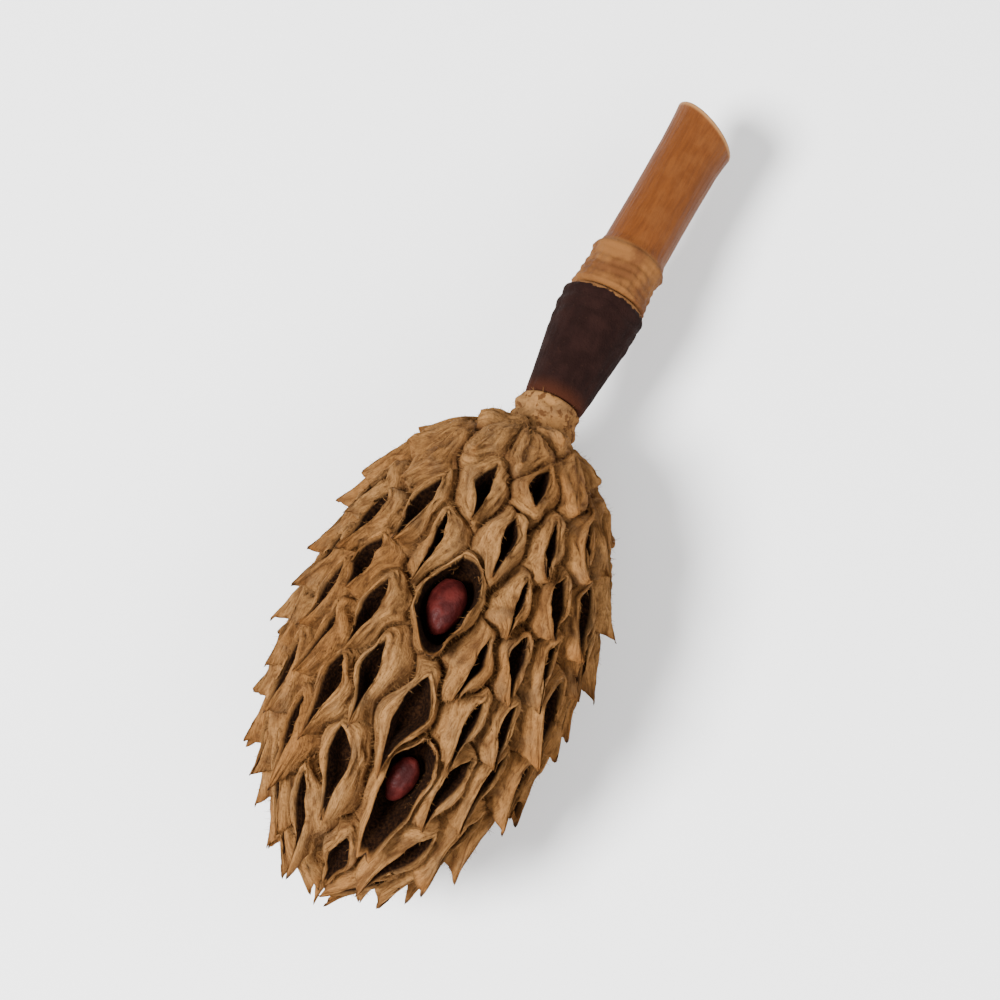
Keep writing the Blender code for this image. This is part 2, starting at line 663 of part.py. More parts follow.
def stalk(collection):
    """The dark felted stalk under the collar, a little waisted, wider towards the twig."""
    profile = [
        (STALK_LENGTH, 0.0),
        (STALK_LENGTH, 0.93 * STALK_RADIUS),
        (0.96 * STALK_LENGTH, STALK_RADIUS),
        (0.72 * STALK_LENGTH, 0.97 * STALK_RADIUS),
        (0.40 * STALK_LENGTH, 0.85 * STALK_RADIUS),
        (0.15 * STALK_LENGTH, 0.76 * STALK_RADIUS),
        (0.04 * STALK_LENGTH, STALK_HEAD_RADIUS),
        (0.0, 0.93 * STALK_HEAD_RADIUS),
        (0.0, 0.0),
    ]
    obj = turned("stalk", profile, collection)
    obj.matrix_basis = Matrix.Translation((-COLLAR_LENGTH - GAP, 0, 0)) @ away_from_head(STALK_BEND)
    return finished(obj, DARK_VELVET, 0.95)


def twig(collection, cutters, stalk_end):
    """The cut twig: the ringed node that the stalk broke from, a smooth length, and a cut end that flares."""
    longest = TWIG_LENGTH + 1.2 * TWIG_RADIUS * math.tan(math.radians(CUT_SLANT))
    profile = [
        (longest, 0.0),
        (longest, 1.10 * TWIG_RADIUS),
        (TWIG_LENGTH, 1.08 * TWIG_RADIUS),
        (TWIG_LENGTH - 0.0045, 1.00 * TWIG_RADIUS),
        (0.55 * TWIG_LENGTH, 0.98 * TWIG_RADIUS),
        (NODE_LENGTH + 0.0012, 1.00 * TWIG_RADIUS),
        (NODE_LENGTH, 0.97 * NODE_RADIUS),
        (0.86 * NODE_LENGTH, 1.04 * NODE_RADIUS),
        (0.70 * NODE_LENGTH, 0.97 * NODE_RADIUS),
        (0.22 * NODE_LENGTH, 1.02 * NODE_RADIUS),
        (0.08 * NODE_LENGTH, 1.08 * NODE_RADIUS),
        (0.0, 1.02 * NODE_RADIUS),
        (0.0, 0.0),
    ]
    obj = turned("twig", profile, collection)
    obj.matrix_basis = Matrix.Translation(stalk_end) @ away_from_head(TWIG_BEND)
    cut_slanting(obj, cutters)
    return finished(obj, ORANGE_BARK, 0.55)


def cut_slanting(obj, cutters):
    """Cuts the twig's far end off at a slant, which leaves its local +X side longer."""
    bm = bmesh.new()
    bmesh.ops.create_cube(bm, size=CUTTER_SIZE)
    cutter = mesh_object("slant_cutter", [], [], [], cutters)
    bm.to_mesh(cutter.data)
    bm.free()
    cutter.parent = obj
    slant = Matrix.Rotation(math.radians(-CUT_SLANT), 4, "Y")
    on_plane = Matrix.Translation((0, 0, CUTTER_SIZE / 2))
    cutter.matrix_basis = Matrix.Translation((0, 0, TWIG_LENGTH)) @ slant @ on_plane
    cutter.hide_render = True
    cutter.display_type = "WIRE"
    cut = obj.modifiers.new("Slanting cut", "BOOLEAN")
    cut.operation = "DIFFERENCE"
    cut.object = cutter


def seed(name, follicle, shift, collection):
    """A seed lying in a gaping follicle, its long way along the slit."""
    bm = bmesh.new()
    bmesh.ops.create_uvsphere(bm, u_segments=14, v_segments=9, radius=0.5)
    bmesh.ops.scale(bm, vec=follicle.seed_size(), verts=bm.verts)
    obj = mesh_object(name, [], [], [], collection)
    bm.to_mesh(obj.data)
    bm.free()
    obj.matrix_basis = follicle.seat(shift)
    return finished(obj, MAROON, 0.35)


def solid_points(obj):
    """(points, triangles) of the object as it stands, in the pod's own frame."""
    graph = bpy.context.evaluated_depsgraph_get()
    evaluated = obj.evaluated_get(graph)
    mesh = evaluated.to_mesh()
    mesh.calc_loop_triangles()
    points = np.array([obj.matrix_basis @ v.co for v in mesh.vertices])
    triangles = np.array([t.vertices[:] for t in mesh.loop_triangles])
    evaluated.to_mesh_clear()
    return points, triangles


def centre_of_mass(solids):
    """Of solids of one density."""
    volume, moment = 0.0, np.zeros(3)
    for points, triangles in solids:
        a, b, c = (points[triangles[:, k]] for k in range(3))
        parts = np.einsum("ij,ij->i", a, np.cross(b, c)) / 6
        volume += parts.sum()
        moment += (parts[:, None] * (a + b + c) / 4).sum(axis=0)
    return moment / volume


def resting_turn(solids):
    """The turn that lays the pod on a facet of its convex hull that its weight falls well inside: the facet
    that leaves the chosen side of the head nearest to the top. The axis isn't turned sideways."""
    bm = bmesh.new()
    for points, _ in solids:
        for point in points:
            bm.verts.new(point)
    bmesh.ops.convex_hull(bm, input=bm.verts)
    weight = Vector(centre_of_mass(solids))
    wanted = Vector((0, math.cos(math.radians(UP_AT)), math.sin(math.radians(UP_AT))))
    best, best_match = None, -1.0
    for face in bm.faces:
        normal = face.normal
        corners = [v.co for v in face.verts]
        foot = weight + normal * (corners[0] - weight).dot(normal)
        margins = []
        for a, b in zip(corners, corners[1:] + corners[:1]):
            margins.append((b - a).cross(foot - a).dot(normal) / max((b - a).length, GAP))
        if min(margins) > STEADY_MARGIN and -normal.dot(wanted) > best_match:
            best, best_match = -normal, -normal.dot(wanted)
    bm.free()
    roll = math.pi / 2 - math.atan2(best.z, best.y)
    pitch = -math.asin(best.x)
    return Matrix.Rotation(pitch, 4, "Y") @ Matrix.Rotation(roll, 4, "X")


def cut_flat(head, lay):
    """Takes the very ends off the beaks that the pod rests on, so that each has a small flat spot."""
    to_world = lay.matrix_basis
    bm = bmesh.new()
    bm.from_mesh(head.data)
    level = min((to_world @ v.co).z for v in bm.verts) + FLAT_CUT
    back = to_world.inverted()
    up = back.to_3x3() @ Vector((0, 0, 1))
    geometry = bm.verts[:] + bm.edges[:] + bm.faces[:]
    on_plane = back @ Vector((0, 0, level))
    bmesh.ops.bisect_plane(bm, geom=geometry, dist=1e-7, plane_co=on_plane, plane_no=up, clear_inner=True)
    bmesh.ops.holes_fill(bm, edges=[e for e in bm.edges if e.is_boundary], sides=0)
    bmesh.ops.recalc_face_normals(bm, faces=bm.faces)
    bm.to_mesh(head.data)
    bm.free()
    lay.location.z -= level


def main():
    for obj in list(bpy.data.objects):
        bpy.data.objects.remove(obj, do_unlink=True)
    collection = bpy.data.collections.new("magnolia_seed_pod")
    cutters = bpy.data.collections.new("cutters")
    bpy.context.scene.collection.children.link(collection)
    bpy.context.scene.collection.children.link(cutters)

    skin = head_skin(EDGE_STEP, STRAND_SHARES, CAVITY_SHARES)
    head = mesh_object("seed_head", skin.points, [], skin.faces, collection)
    finished(head, FELT_TAN, 0.95)
    stem = stalk(collection)
    stem_end = stem.matrix_basis @ Vector((0, 0, STALK_LENGTH + GAP))
    pieces = [head, stem, twig(collection, cutters, stem_end)]
    for k, follicle in enumerate(skin.gaping):
        pieces.append(seed(f"seed_{k + 1}", follicle, SEED_PLACES[k][2], collection))

    lay = bpy.data.objects.new("lay", None)
    collection.objects.link(lay)
    solids = [solid_points(obj) for obj in pieces]
    lay.matrix_basis = resting_turn(solids)
    cut_flat(head, lay)
    points = np.concatenate([points for points, _ in solids]) @ np.array(lay.matrix_basis.to_3x3()).T
    middle = (points.min(axis=0) + points.max(axis=0)) / 2
    lay.location.x, lay.location.y = -middle[:2]
    for obj in pieces:
        obj.parent = lay


main()
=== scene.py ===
"""The looks of a dried magnolia seed pod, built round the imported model.

Metres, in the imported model's frame: +Z up, the pod lying along +X from the twig's cut end to the head's
tip. The head is grown again by the rule that its solid follows, with many more rings to each follicle, so
every slit, strand and beak stays where the solid has it. Stalk, twig and seeds are finer pieces in their
solids' places, and short hairs cover the felt.
"""

import math
import random

import bmesh
import bpy
import numpy as np
from mathutils import Matrix, Vector, noise
from mathutils.bvhtree import BVHTree
from mathutils.geometry import delaunay_2d_cdt

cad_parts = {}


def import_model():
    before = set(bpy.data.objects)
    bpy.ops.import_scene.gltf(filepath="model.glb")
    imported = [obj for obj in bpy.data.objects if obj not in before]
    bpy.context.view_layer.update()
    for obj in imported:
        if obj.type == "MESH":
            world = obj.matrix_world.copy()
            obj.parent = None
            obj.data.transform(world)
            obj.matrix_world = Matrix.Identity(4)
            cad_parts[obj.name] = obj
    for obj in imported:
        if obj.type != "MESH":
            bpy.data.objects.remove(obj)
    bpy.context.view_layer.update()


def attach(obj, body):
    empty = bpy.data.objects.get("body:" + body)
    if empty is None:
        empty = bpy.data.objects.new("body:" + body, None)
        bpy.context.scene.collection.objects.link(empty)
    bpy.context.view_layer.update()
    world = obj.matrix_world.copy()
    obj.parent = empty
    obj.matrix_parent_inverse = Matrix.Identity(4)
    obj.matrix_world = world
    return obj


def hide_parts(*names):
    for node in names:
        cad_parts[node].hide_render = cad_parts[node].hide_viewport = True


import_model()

# Head
HEAD_LENGTH = 0.0620  # from the collar to the tip, without the beaks
HEAD_RADIUS = 0.0176  # of the felted surface at its widest place
WIDEST_AT = 0.50  # share of the head's length, from the collar
STEM_HALF_POWER = 2.3  # a superellipse: 2 is an ellipse, more has broader shoulders
TIP_HALF_POWER = 2.0
COLLAR_RADIUS = 0.0041  # of the bumpy ring that the head sits on
COLLAR_LENGTH = 0.0048
TIP_PLUG_RADIUS = 0.0012  # where the last follicles end round the tip
TIP_PLUG_RISE = 0.0004  # of the middle of the tip, over that end
OVALNESS = 0.03  # how far the head is off round

# Follicles
SEED = 13  # of every draw
FOLLICLE_AREA = 49e-6  # square metres of the head that each has
FIRST_FOLLICLE = 1.2  # how many follicles' area lies bare round the collar
CLOSED_UNTIL = 0.0060  # follicles nearer to the collar than this never opened
LAST_CLOSED = 0.0160  # and some as far away as this didn't either
SEAM_WIDTH = 0.4  # of the seam of a closed follicle, over the slit that it would have
CELL_STRETCH = 1.80  # length of a cell over its width
SCATTER = 0.24  # how far a follicle strays from the spiral, in cell widths
SHORTEST_EDGE = 0.0011  # of a cell; a shorter one becomes a corner
EVENING = 0.5  # how far each follicle moves to the middle of its cell, in each round
EVENING_ROUNDS = 2
GOLDEN_ANGLE = math.pi * (3 - math.sqrt(5))  # between one follicle and the next
EDGE_STEP = 0.0028  # length of one straight bit of a cell's edge
EDGE_WAVE = 0.12  # sideways swing of a cell's edge, over its length
SAME_PLACE = 1e-9  # what is nearer than this is at the same place
EDGE_SEED = 1009  # with which the numbers of an edge's two corners make the seed of its own draw
END_SLANT = 0.7  # how much less a corner counts as its cell's end for lying beside the middle

GROOVE_DEPTH = 0.0021  # between two follicles
STRAND_HEIGHT = 0.0012  # of the felted strand round a slit
STRAND_POWER = 1.8  # 1 slopes straight from the lip to the groove, more keeps the strand high
LIP_DROP = 0.0003  # how far the lip curls in
LIP_CURL = 0.3  # share of the strand, beside the lip, that curls in
LIP_RISE = 0.0012  # of the lip, from its stem end to its beak
CAVITY_DEPTH = 0.0034  # from the top of the strand to the floor
BEAK_LENGTH = 0.0037
BEAK_POWER = 1.5  # how fast a beak thins down from the lip; 1 is even
LIFT_POWER = 1.5  # how late the lip rises towards its beak; more is later
BEAK_ROOM = 0.0048  # from the follicle to its cell's tip end, for a beak of full length
BEAK_LEAN = 74.0  # degrees from straight out, towards the tip
SLIT_REACH = 0.64  # how far the slit goes towards the ends of its cell
LONGEST_REACH = 0.0046  # of a slit's end from its follicle
GAPE_REACH = 0.80  # the same two for a follicle that gapes
LONGEST_GAPE = 0.0072
WIDEST_ROOM = 0.0030  # beside a slit, that its opening is a share of
WIDEST_GAPE_ROOM = 0.0042
SLIT_ROOM = 0.66  # share of its cell's width that a slit keeps within
GAPE_ROOM = 0.86  # the same for a follicle that gapes
SLIT_BASE = 0.1  # share of a slit's width that tapers like an ellipse, so that its ends aren't hair-thin
SHARPNESS = 2.0  # of a slit's ends: more is longer drawn out
GAPE_SHARPNESS = 0.9
NARROWING = 0.35  # of a cavity, from the lip to its floor
GAPE_NARROWING = 0.08
GAPE_BOW = 0.6  # share of its bow that a follicle that gapes has
SLIT_RUN_OUT = 0.45  # how much shallower the cavity is at its beak
RUN_OUT_START = 2.5  # how suddenly that ends at the floor
RUN_OUT_POWER = 3  # how near the beak it keeps; more is nearer
NARROWEST_SLIT = 0.0007
TIP_BEAKS = 0.3  # how much longer the beaks are round the tip
TIP_BEAKS_FROM = (0.6, 0.9)  # between which places, of 0 at the collar to 1, they grow so
BEAK_WIDTH = 27.0  # degrees round the lip
STRAND_SHARES = (0.5, 0.0)  # where the rings of the strand lie, from the lip at 0 to the groove at 1
CAVITY_SHARES = (0.6, 1.0)  # where the rings of the cavity lie, from the lip at 0 to the floor at 1
REMAKE_SHARE = 0.9  # of the slit and beak that a follicle keeps when its walls cross
MOST_REMAKES = 12
CLOSED_RING = 0.12  # the last ring of a closed follicle, as a share from the lip to the groove

# How small these are round the collar: the share there, and between which places, of 0 at the collar to 1 at
# the tip, they grow to their full size
GROOVES_AT_STEM = (0.25, 0.1, 0.4)
OPENINGS_AT_STEM = (0.65, 0.1, 0.3)
BEAKS_AT_STEM = (0.2, 0.08, 0.35)
STRANDS_AT_STEM = (0.5, 0.05, 0.3)

# How follicles differ: the least and the most, and for the opening also the likeliest
OPENINGS = (0.15, 0.74, 0.28)  # half a slit's width over the room beside it
BOWS = (-0.40, 0.40)  # sideways bow of a slit, over half its width
LEANS = (-12.0, 8.0)  # degrees added to a beak's lean
SIDES = (-0.18, 0.18)  # sideways lean of a beak, over its length
BEAK_LENGTHS = (0.7, 1.2)  # these four are shares of the lengths above
RISES = (0.6, 1.4)
HEIGHTS = (0.7, 1.3)
DEPTHS = (0.85, 1.10)
DEEPEST = 0.33  # of the head's radius there

# The follicles that gape and hold a seed: how far from the collar, the degrees round the axis, and how far
# towards the tip the seed lies in its slit, as a share of the slit's length
SEED_PLACES = ((0.0300, 159.0, 0.05), (0.0510, 142.0, 0.0), (0.0400, 267.0, -0.1), (0.0360, 48.0, 0.0))
GAPE_PUSH = 0.50  # how far the neighbours stand back, in cell widths
GAPE_PUSH_REACH = 1.5  # over how many cell widths the push fades
GAPE_DEPTH = 0.0054  # of the cavity round a seed
SEED_FILL = 0.69  # a seed's width over its slit's
WIDEST_SEED = 0.0046
SEED_LENGTH = 1.65  # over its width
SEED_THICKNESS = 0.84  # over its width
SEED_SINK = 0.0018  # of a seed's middle, below the felted surface

# Stalk and twig, each along its own +Z away from the head
STALK_LENGTH = 0.0160
STALK_HEAD_RADIUS = 0.0040  # beside the head
STALK_RADIUS = 0.0056  # beside the twig
TWIG_LENGTH = 0.0280
TWIG_RADIUS = 0.0044
CUT_SLANT = 20.0  # degrees that the cut end is off square
NODE_LENGTH = 0.0068
NODE_RADIUS = 0.0049  # of the ringed end of the twig, beside the stalk
STALK_BEND = 1.5  # degrees off the head's axis
TWIG_BEND = 4.5
BEND_AT = 67.0  # the side that the stem bends to, in degrees round the axis
ON_AXIS = 0.0002  # the first and last radius of a turned form; a point on the axis closes it
CALM_RADIUS = 0.002  # nearer to the axis than this, a turned form's relief fades

# How the head's own axis lies: rolled and pitched by these degrees, then moved
LAY_ROLL = -72.556
LAY_PITCH = -4.9794
LAY_PLACE = (-0.0077242, -0.0002488, 0.0182103)
GAP = 0.0003  # between the solids of pieces that touch

# Finer than the solid
FINE_EDGE_STEP = 0.00064  # this and the next two lines are like those for the solid's head, above
FINE_STRAND_SHARES = (0.95, 0.87, 0.78, 0.68, 0.58, 0.48, 0.38, 0.28, 0.19, 0.11, 0.05, 0.0)
FINE_CAVITY_SHARES = (0.06, 0.20, 0.45, 0.75, 1.0)
FORKED_SHARE = 0.45  # of the beaks, whose two valves part at the end
FORK_DEPTHS = (0.35, 0.75)  # of a fork, over its beak's length
FORK_WIDTH = 8.0  # degrees round the lip
FORK_REACH = 0.8  # radians round the lip, from the beak, that a valve leans aside over
FORK_SPREAD = 0.0007  # how far a valve leans aside
CURL = 0.03  # how far a beak's end turns outwards, over its length
ROPE = 0.00030  # rise and fall along a strand
ROPE_WAVES = (3, 4.0)  # round the slit, and how far they wind on their way to the groove, in radians
LIP_WAVER = 0.00008  # how far the lip swings in and out
RAGGED_WAVER = 0.00016  # the same for the follicles that gape
LIP_WAVES = ((3, 1.0), (5, 0.7), (8, 0.5))  # swings round the lip, and the share that each has of the waver
FINE_COLLAR_ROWS = 14
COLLAR_SWELL = 0.04  # of the collar's radius
SWELL_POWER = 0.7  # how fast the collar swells from its ends; 1 is a sine
KNOBS = 0.24  # of the collar's radius
KNOB_WAVES = (4.5, 3.4)  # along the collar and round it

# Cords and lumps of the felt. The grain is a place in noise that runs round each slit, in cords.
GRAIN_ACROSS = 3.8  # cords side by side on a strand
GRAIN_ROUND = 0.65  # how short the cords are; less is longer
GRAIN_APART = 7.3  # between one follicle's grain and the next one's
GRAIN_SWAY = 0.5  # how far the cords wander over the strand
CORD_RELIEF = 0.00050  # height of the cords that run along a strand
CORD_EDGE = 0.30  # of the noise, at which a cord has its full height
CORD_POWER = 0.7  # how steeply it gets there
CORD_LEVEL = 0.6  # share of a cord's height that lies below the plain skin
CORD_SHADE = 0.75  # how much painted shade lies between two cords, as a depth in a groove
CORDS_END = 0.3  # depth in the cavity where the cords have faded
SMOOTH_CAVITY = 0.7  # share of the relief that is gone at the cavity's floor
SMOOTH_BEAK = 0.5  # and at a beak's end
RELIEF = ((180.0, 0.00030), (620.0, 0.00012))  # waves a metre and height of the felt's lumps

# Hairs
HAIRS = 30000
HAIR_LENGTHS = (0.00045, 0.00110)
HAIR_RADIUS = 0.000034  # at the root
HAIR_SUNK = 0.00008  # of the root, below the felt
SHORT_AT_BEAK = 0.8  # how much shorter a hair is at a beak's end
HAIR_GROOVE_SHADE = 0.5  # share of its groove's painted shade that a hair takes on
FUZZ_LEAN = 0.6  # towards the tip, over the hair's way out
FUZZ_TANGLE = 0.45  # every way, over its way out
FUZZ_DEEPEST = 0.12  # how far into a slit it grows
FUZZ_LOWEST = 0.0012  # none under the pod

# Marks: depth in the cavity (below 0 on the collar), nearness to a beak's end, depth in a groove, tint
# Depth in the cavity above 0 and depth in a groove set how much painted shade the felt has
EDGE_MARK = (0.0, 0.0, 1.0, 0.5)
COLLAR_MARK = (-1.0, 0.0, 0.0, 0.5)
SEAM_MARK = 0.5  # how dark the seam of a closed follicle is, as a depth in a groove

# Relief of the turned pieces: waves a metre along them, waves round them, a place in the noise, and height
STALK_FOLDS = ((90, 3.2, 0.0, 0.00010), (420, 9, 5.0, 0.00009))
BARK_GRAIN = ((60, 6, 0.0, 0.00006), (160, 20, 3.0, 0.00004))
NODE_KNOBS = ((380, 6, 8.0, 0.00022),)
# Rings round them: their height, how far apart they are, and the relief by which they stray along the piece
STALK_SCARS = (0.00010, 0.0021, ((40, 1.5, 2.0, 0.0006),))
NODE_RINGS = (0.00007, 0.0012, ((60, 2.0, 4.0, 0.0005),))
SCARS_FROM = 0.55  # of the stalk's length
SCARS_FADE = 0.3  # of its length, over which they grow to their full height
SMOOTH_ENDS = (0.0004, 0.0002)  # of the stalk, without relief
NODE_RELIEF = (1.05, 3.0)  # over the node's length: where its relief ends, and how fast it fades before
CUT_FROM = 0.0075  # how far from the end the twig's rings start to slant
CUT_DEPTH = 0.0006  # what is nearer to the end than this belongs to the cut face
FACE_RELIEF = 0.3  # share of the bark's relief that the cut face has
FACE_SHARE = 0.985  # of the rim's radius that shows wood
STALK_MESH = (120, 110)  # points round it, and rings
TWIG_MESH = (128, 170)
CENTIMETRES = 100  # in a metre; painted places are in them

# Seeds, as balls before they are stretched; heights and widths are shares of the radius
SEED_MESH = (56, 36)  # segments and rings
SEED_LUMPS = (0.05, 2.2)  # height and waves
SEED_WRINKLES = (0.05, (7.0, 7.0, 2.5))  # depth, and waves each way
WRINKLE_EDGE = 0.25  # of the noise, at which a wrinkle ends
SEED_CREASE = (0.05, 0.16)  # depth and half width
SEED_TAPER = 0.12  # how much narrower it is at one end, and wider at the other
SEEDS_APART = 3  # between the places of two seeds in the noise

# Colours
TAN = (0.215, 0.095, 0.0285)
PALE_TAN = (0.275, 0.139, 0.0490)
BROWN = (0.070, 0.0290, 0.0100)
GREY_BROWN = (0.110, 0.064, 0.0320)
SLIT_SHADE = (0.0042, 0.0014, 0.0007)  # painted shade in the slits, near black
ORANGE_TIP = (0.125, 0.043, 0.0090)
DARK_TIP = (0.020, 0.012, 0.0080)
VELVET = (0.0080, 0.0032, 0.0026)
PALE_VELVET = (0.0125, 0.0050, 0.0040)
RED_FOOT = (0.036, 0.010, 0.0045)  # of the stalk, beside the head
WORN_THREAD = (0.070, 0.032, 0.018)
TORN_EDGE = (0.150, 0.066, 0.022)  # of the stalk, beside the twig
VELVET_SHEEN = (0.50, 0.32, 0.28)
BARK = (0.101, 0.029, 0.0044)
DARK_BARK = (0.073, 0.0200, 0.0030)
TAN_BARK = (0.130, 0.046, 0.0110)
NODE_TAN = (0.135, 0.054, 0.0145)
NODE_BROWN = (0.082, 0.029, 0.0080)
PALE_RIM = (0.30, 0.150, 0.056)
WOOD = (0.235, 0.118, 0.045)
DARK_WOOD = (0.175, 0.085, 0.031)
PITH = (0.055, 0.025, 0.011)
UNDER_BARK = (0.100, 0.042, 0.015)
MAROON = (0.024, 0.0030, 0.0028)
PALE_MAROON = (0.055, 0.0075, 0.0062)
DARK_MAROON = (0.014, 0.0025, 0.0025)
WHITE = (1.0, 1.0, 1.0)
FLOOR_GREY = (0.90, 0.90, 0.90)

# Textures of the materials: the places that a noise follows, its scale and detail, and for some its roughness
FELT_TEXTURES = {
    "broad": ("point", 70.0, 2.0),
    "patchy": ("point", 320.0, 3.0),
    "grain": ("grain", 3.6, 4.0, 0.6),
    "threads": ("grain", 14.0, 3.0, 0.6),
    "fine": ("point", 2600.0, 3.0),
    "pits": ("point", 900.0, 2.0),
}
VELVET_TEXTURES = {
    "patchy": ("point", 420.0, 4.0),
    "fine": ("point", 3000.0, 3.0),
    "torn": ("point", 1100.0, 2.0),
}
BARK_TEXTURES = {
    "streaks": ("lengthwise", 4.0, 4.0, 0.6),
    "patchy": ("point", 300.0, 3.0),
    "fine": ("point", 2400.0, 3.0),
}
SEED_TEXTURES = {"patchy": ("point", 500.0, 3.0), "fine": ("point", 2500.0, 3.0)}
BARK_STRETCH = (6.0, 6.0, 0.7)  # of the places that the bark's streaks follow
NOISE_ROUGHNESS = 0.55  # of the textures that name none

# Layers of colour: what each follows, where that starts and is full, how much then covers, and the colour
FELT_LAYERS = (
    ("broad", 0.35, 0.65, 1.0, PALE_TAN),
    ("tint", 0.2, 1.0, 0.45, PALE_TAN),
    ("patchy", 0.48, 0.72, 0.60, GREY_BROWN),
    ("grain", 0.48, 0.70, 0.70, BROWN),
    ("threads", 0.46, 0.68, 0.45, BROWN),
    # painted shade: brown, deeper in the grooves and between cords
    ("groove", 0.10, 0.90, 1.0, BROWN),
    ("tip", 0.25, 0.75, 0.45, ORANGE_TIP),
    ("tip", 0.80, 0.98, 1.0, DARK_TIP),
    # painted shade: near black from the lip down into the slits
    ("depth", 0.0, 0.24, 1.0, SLIT_SHADE),
    ("depth", -0.5, -0.9, 0.30, BROWN),  # the collar
    ("fine", 0.35, 0.7, 0.25, BROWN),
)
COLLAR_DEPTH = (-0.5, -0.9)  # where the depth painted on the skin means the collar
PITS = (0.52, 0.62)  # where the collar's dark pits start and are full
VELVET_LAYERS = (
    ("patchy", 0.35, 0.7, 1.0, PALE_VELVET),
    ("share", 0.16, 0.0, 0.75, RED_FOOT),
    ("fine", 0.60, 0.80, 0.16, WORN_THREAD),
    ("edge", 1.015, 1.03, 1.0, TORN_EDGE),
)
TORN_DEPTH = 0.10  # how unevenly the pale edge is torn, over the stalk's length
BARK_LAYERS = (("streaks", 0.35, 0.70, 1.0, DARK_BARK), ("patchy", 0.5, 0.7, 0.30, TAN_BARK))
NODE_LAYERS = (("patchy", 0.4, 0.65, 1.0, NODE_BROWN),)
NODE_END = (0.262, 0.238)  # of the twig's length, between which bark turns into node
RIM_LAYERS = (("height", 0.972, 0.992, 0.8, PALE_RIM),)
WOOD_LAYERS = (
    ("rings", -1.0, 1.0, 1.0, DARK_WOOD),
    ("radius", 0.27, 0.22, 1.0, PITH),
    ("radius", 0.88, 0.93, 1.0, UNDER_BARK),
)
WOOD_RINGS = 70.0  # radians of their wave, over the rim's radius
FACE_EDGE = (0.4, 0.6)  # of the share painted as cut face
SEED_LAYERS = (("patchy", 0.35, 0.7, 1.0, PALE_MAROON), ("fine", 0.55, 0.75, 0.35, DARK_MAROON))

# Bumps: what each follows, its height in metres and its strength
FELT_BUMPS = (("grain", 0.00035, 0.8), ("threads", 0.00016, 0.8), ("fine", 0.00012, 0.7))
VELVET_BUMPS = (("patchy", 0.0003, 0.6), ("fine", 0.00014, 0.9))
BARK_BUMPS = (("streaks", 0.00025, 0.5), ("fine", 0.00006, 0.5))
SEED_BUMPS = (("patchy", 0.0004, 0.7), ("fine", 0.00008, 0.8))

# Gloss
MATT = 0.95  # roughness of felt and velvet
BARK_ROUGHNESS = 0.6
NODE_ROUGHNESS = 0.25  # added at the node
SEED_ROUGHNESS = 0.50
FLOOR_ROUGHNESS = 0.6
SPECULAR = {"felt": 0.04, "velvet": 0.05, "bark": 0.12, "seed": 0.09}
SHEEN = (0.03, 0.4)  # of the velvet: its weight and roughness

# Stage
FLOOR = 3.0  # half its side
TARGET = (0.002, -0.001, 0.020)  # what the camera and the lights look at
VIEW = (114.0, 74.0)  # azimuth and elevation of the camera, in degrees
VIEW_DISTANCE = 0.500
LENS = 142.0  # millimetres, as is the sensor's width
SENSOR = 36.0
NEAREST_SEEN = 0.01
AMBIENT = 0.78  # strength of the white light from all round
# Soft lights: name, azimuth, elevation, distance, size and watts
LIGHTS = (
    ("key", 50.0, 58.0, 0.9, 0.30, 26.0),
    ("fill", 200.0, 40.0, 1.1, 0.9, 6.0),
    ("front", 130.0, 50.0, 1.0, 0.7, 5.0),
)


def smooth_step(low, high, value):
    """0 below low, 1 above high, and an S-curve between."""
    share = np.clip((value - low) / (high - low), 0.0, 1.0)
    return share * share * (3 - 2 * share)


def from_stem(least, low, high, place):
    """A share that is least up to the place low, and 1 from the place high on, of 0 at the collar to 1."""
    return least + (1 - least) * smooth_step(low, high, place)


class Outline:
    """The head's side view: tables along it of place, radius, arc length, conformal length and area."""

    STEPS = 4000

    def __init__(self):
        widest = WIDEST_AT * HEAD_LENGTH
        at_collar = 1 - (COLLAR_RADIUS / HEAD_RADIUS) ** STEM_HALF_POWER
        stem_reach = widest / at_collar ** (1 / STEM_HALF_POWER)
        tip_reach = HEAD_LENGTH - widest
        turn = np.linspace(0, math.pi, self.STEPS)
        power = np.where(turn < math.pi / 2, STEM_HALF_POWER, TIP_HALF_POWER)
        reach = np.where(turn < math.pi / 2, stem_reach, tip_reach)
        across = np.cos(turn)
        x = widest - np.sign(across) * reach * np.abs(across) ** (2 / power)
        r = HEAD_RADIUS * np.maximum(np.sin(turn), 0) ** (2 / power)
        kept = (x >= 0) & ((turn < math.pi / 2) | (r >= TIP_PLUG_RADIUS))
        self.x, self.r = x[kept], r[kept]
        step = np.hypot(np.diff(self.x), np.diff(self.r))
        middle = (self.r[1:] + self.r[:-1]) / 2
        self.s = self.running(step)
        self.v = self.running(step / middle)
        self.area = self.running(step * middle * 2 * math.pi)
        self.slope_x = np.gradient(self.x, self.s)
        self.slope_r = np.gradient(self.r, self.s)

    @staticmethod
    def running(steps):
        return np.concatenate([[0.0], np.cumsum(steps)])

    def radius(self, s):
        return np.interp(s, self.s, self.r)

    def axes(self, s, turn):
        """Unit vectors there: round the axis, towards the tip, and straight out."""
        dx = np.interp(s, self.s, self.slope_x)
        dr = np.interp(s, self.s, self.slope_r)
        cos, sin = np.cos(turn), np.sin(turn)
        zero = np.zeros_like(cos)
        around = np.stack([zero, -sin, cos], axis=-1)
        along = np.stack([dx, dr * cos, dr * sin], axis=-1)
        out = np.stack([-dr, dx * cos, dx * sin], axis=-1)
        return around, along, out

    def point(self, s, turn, height):
        """The point over arc length s and angle turn, this far out of the surface."""
        s, turn, height = np.broadcast_arrays(s, turn, height)
        oval = 1 + OVALNESS * np.cos(2 * turn + s / HEAD_LENGTH)
        r = self.radius(s) * oval
        on = np.stack([np.interp(s, self.s, self.x), r * np.cos(turn), r * np.sin(turn)], axis=-1)
        return on + height[..., None] * self.axes(s, turn)[2]


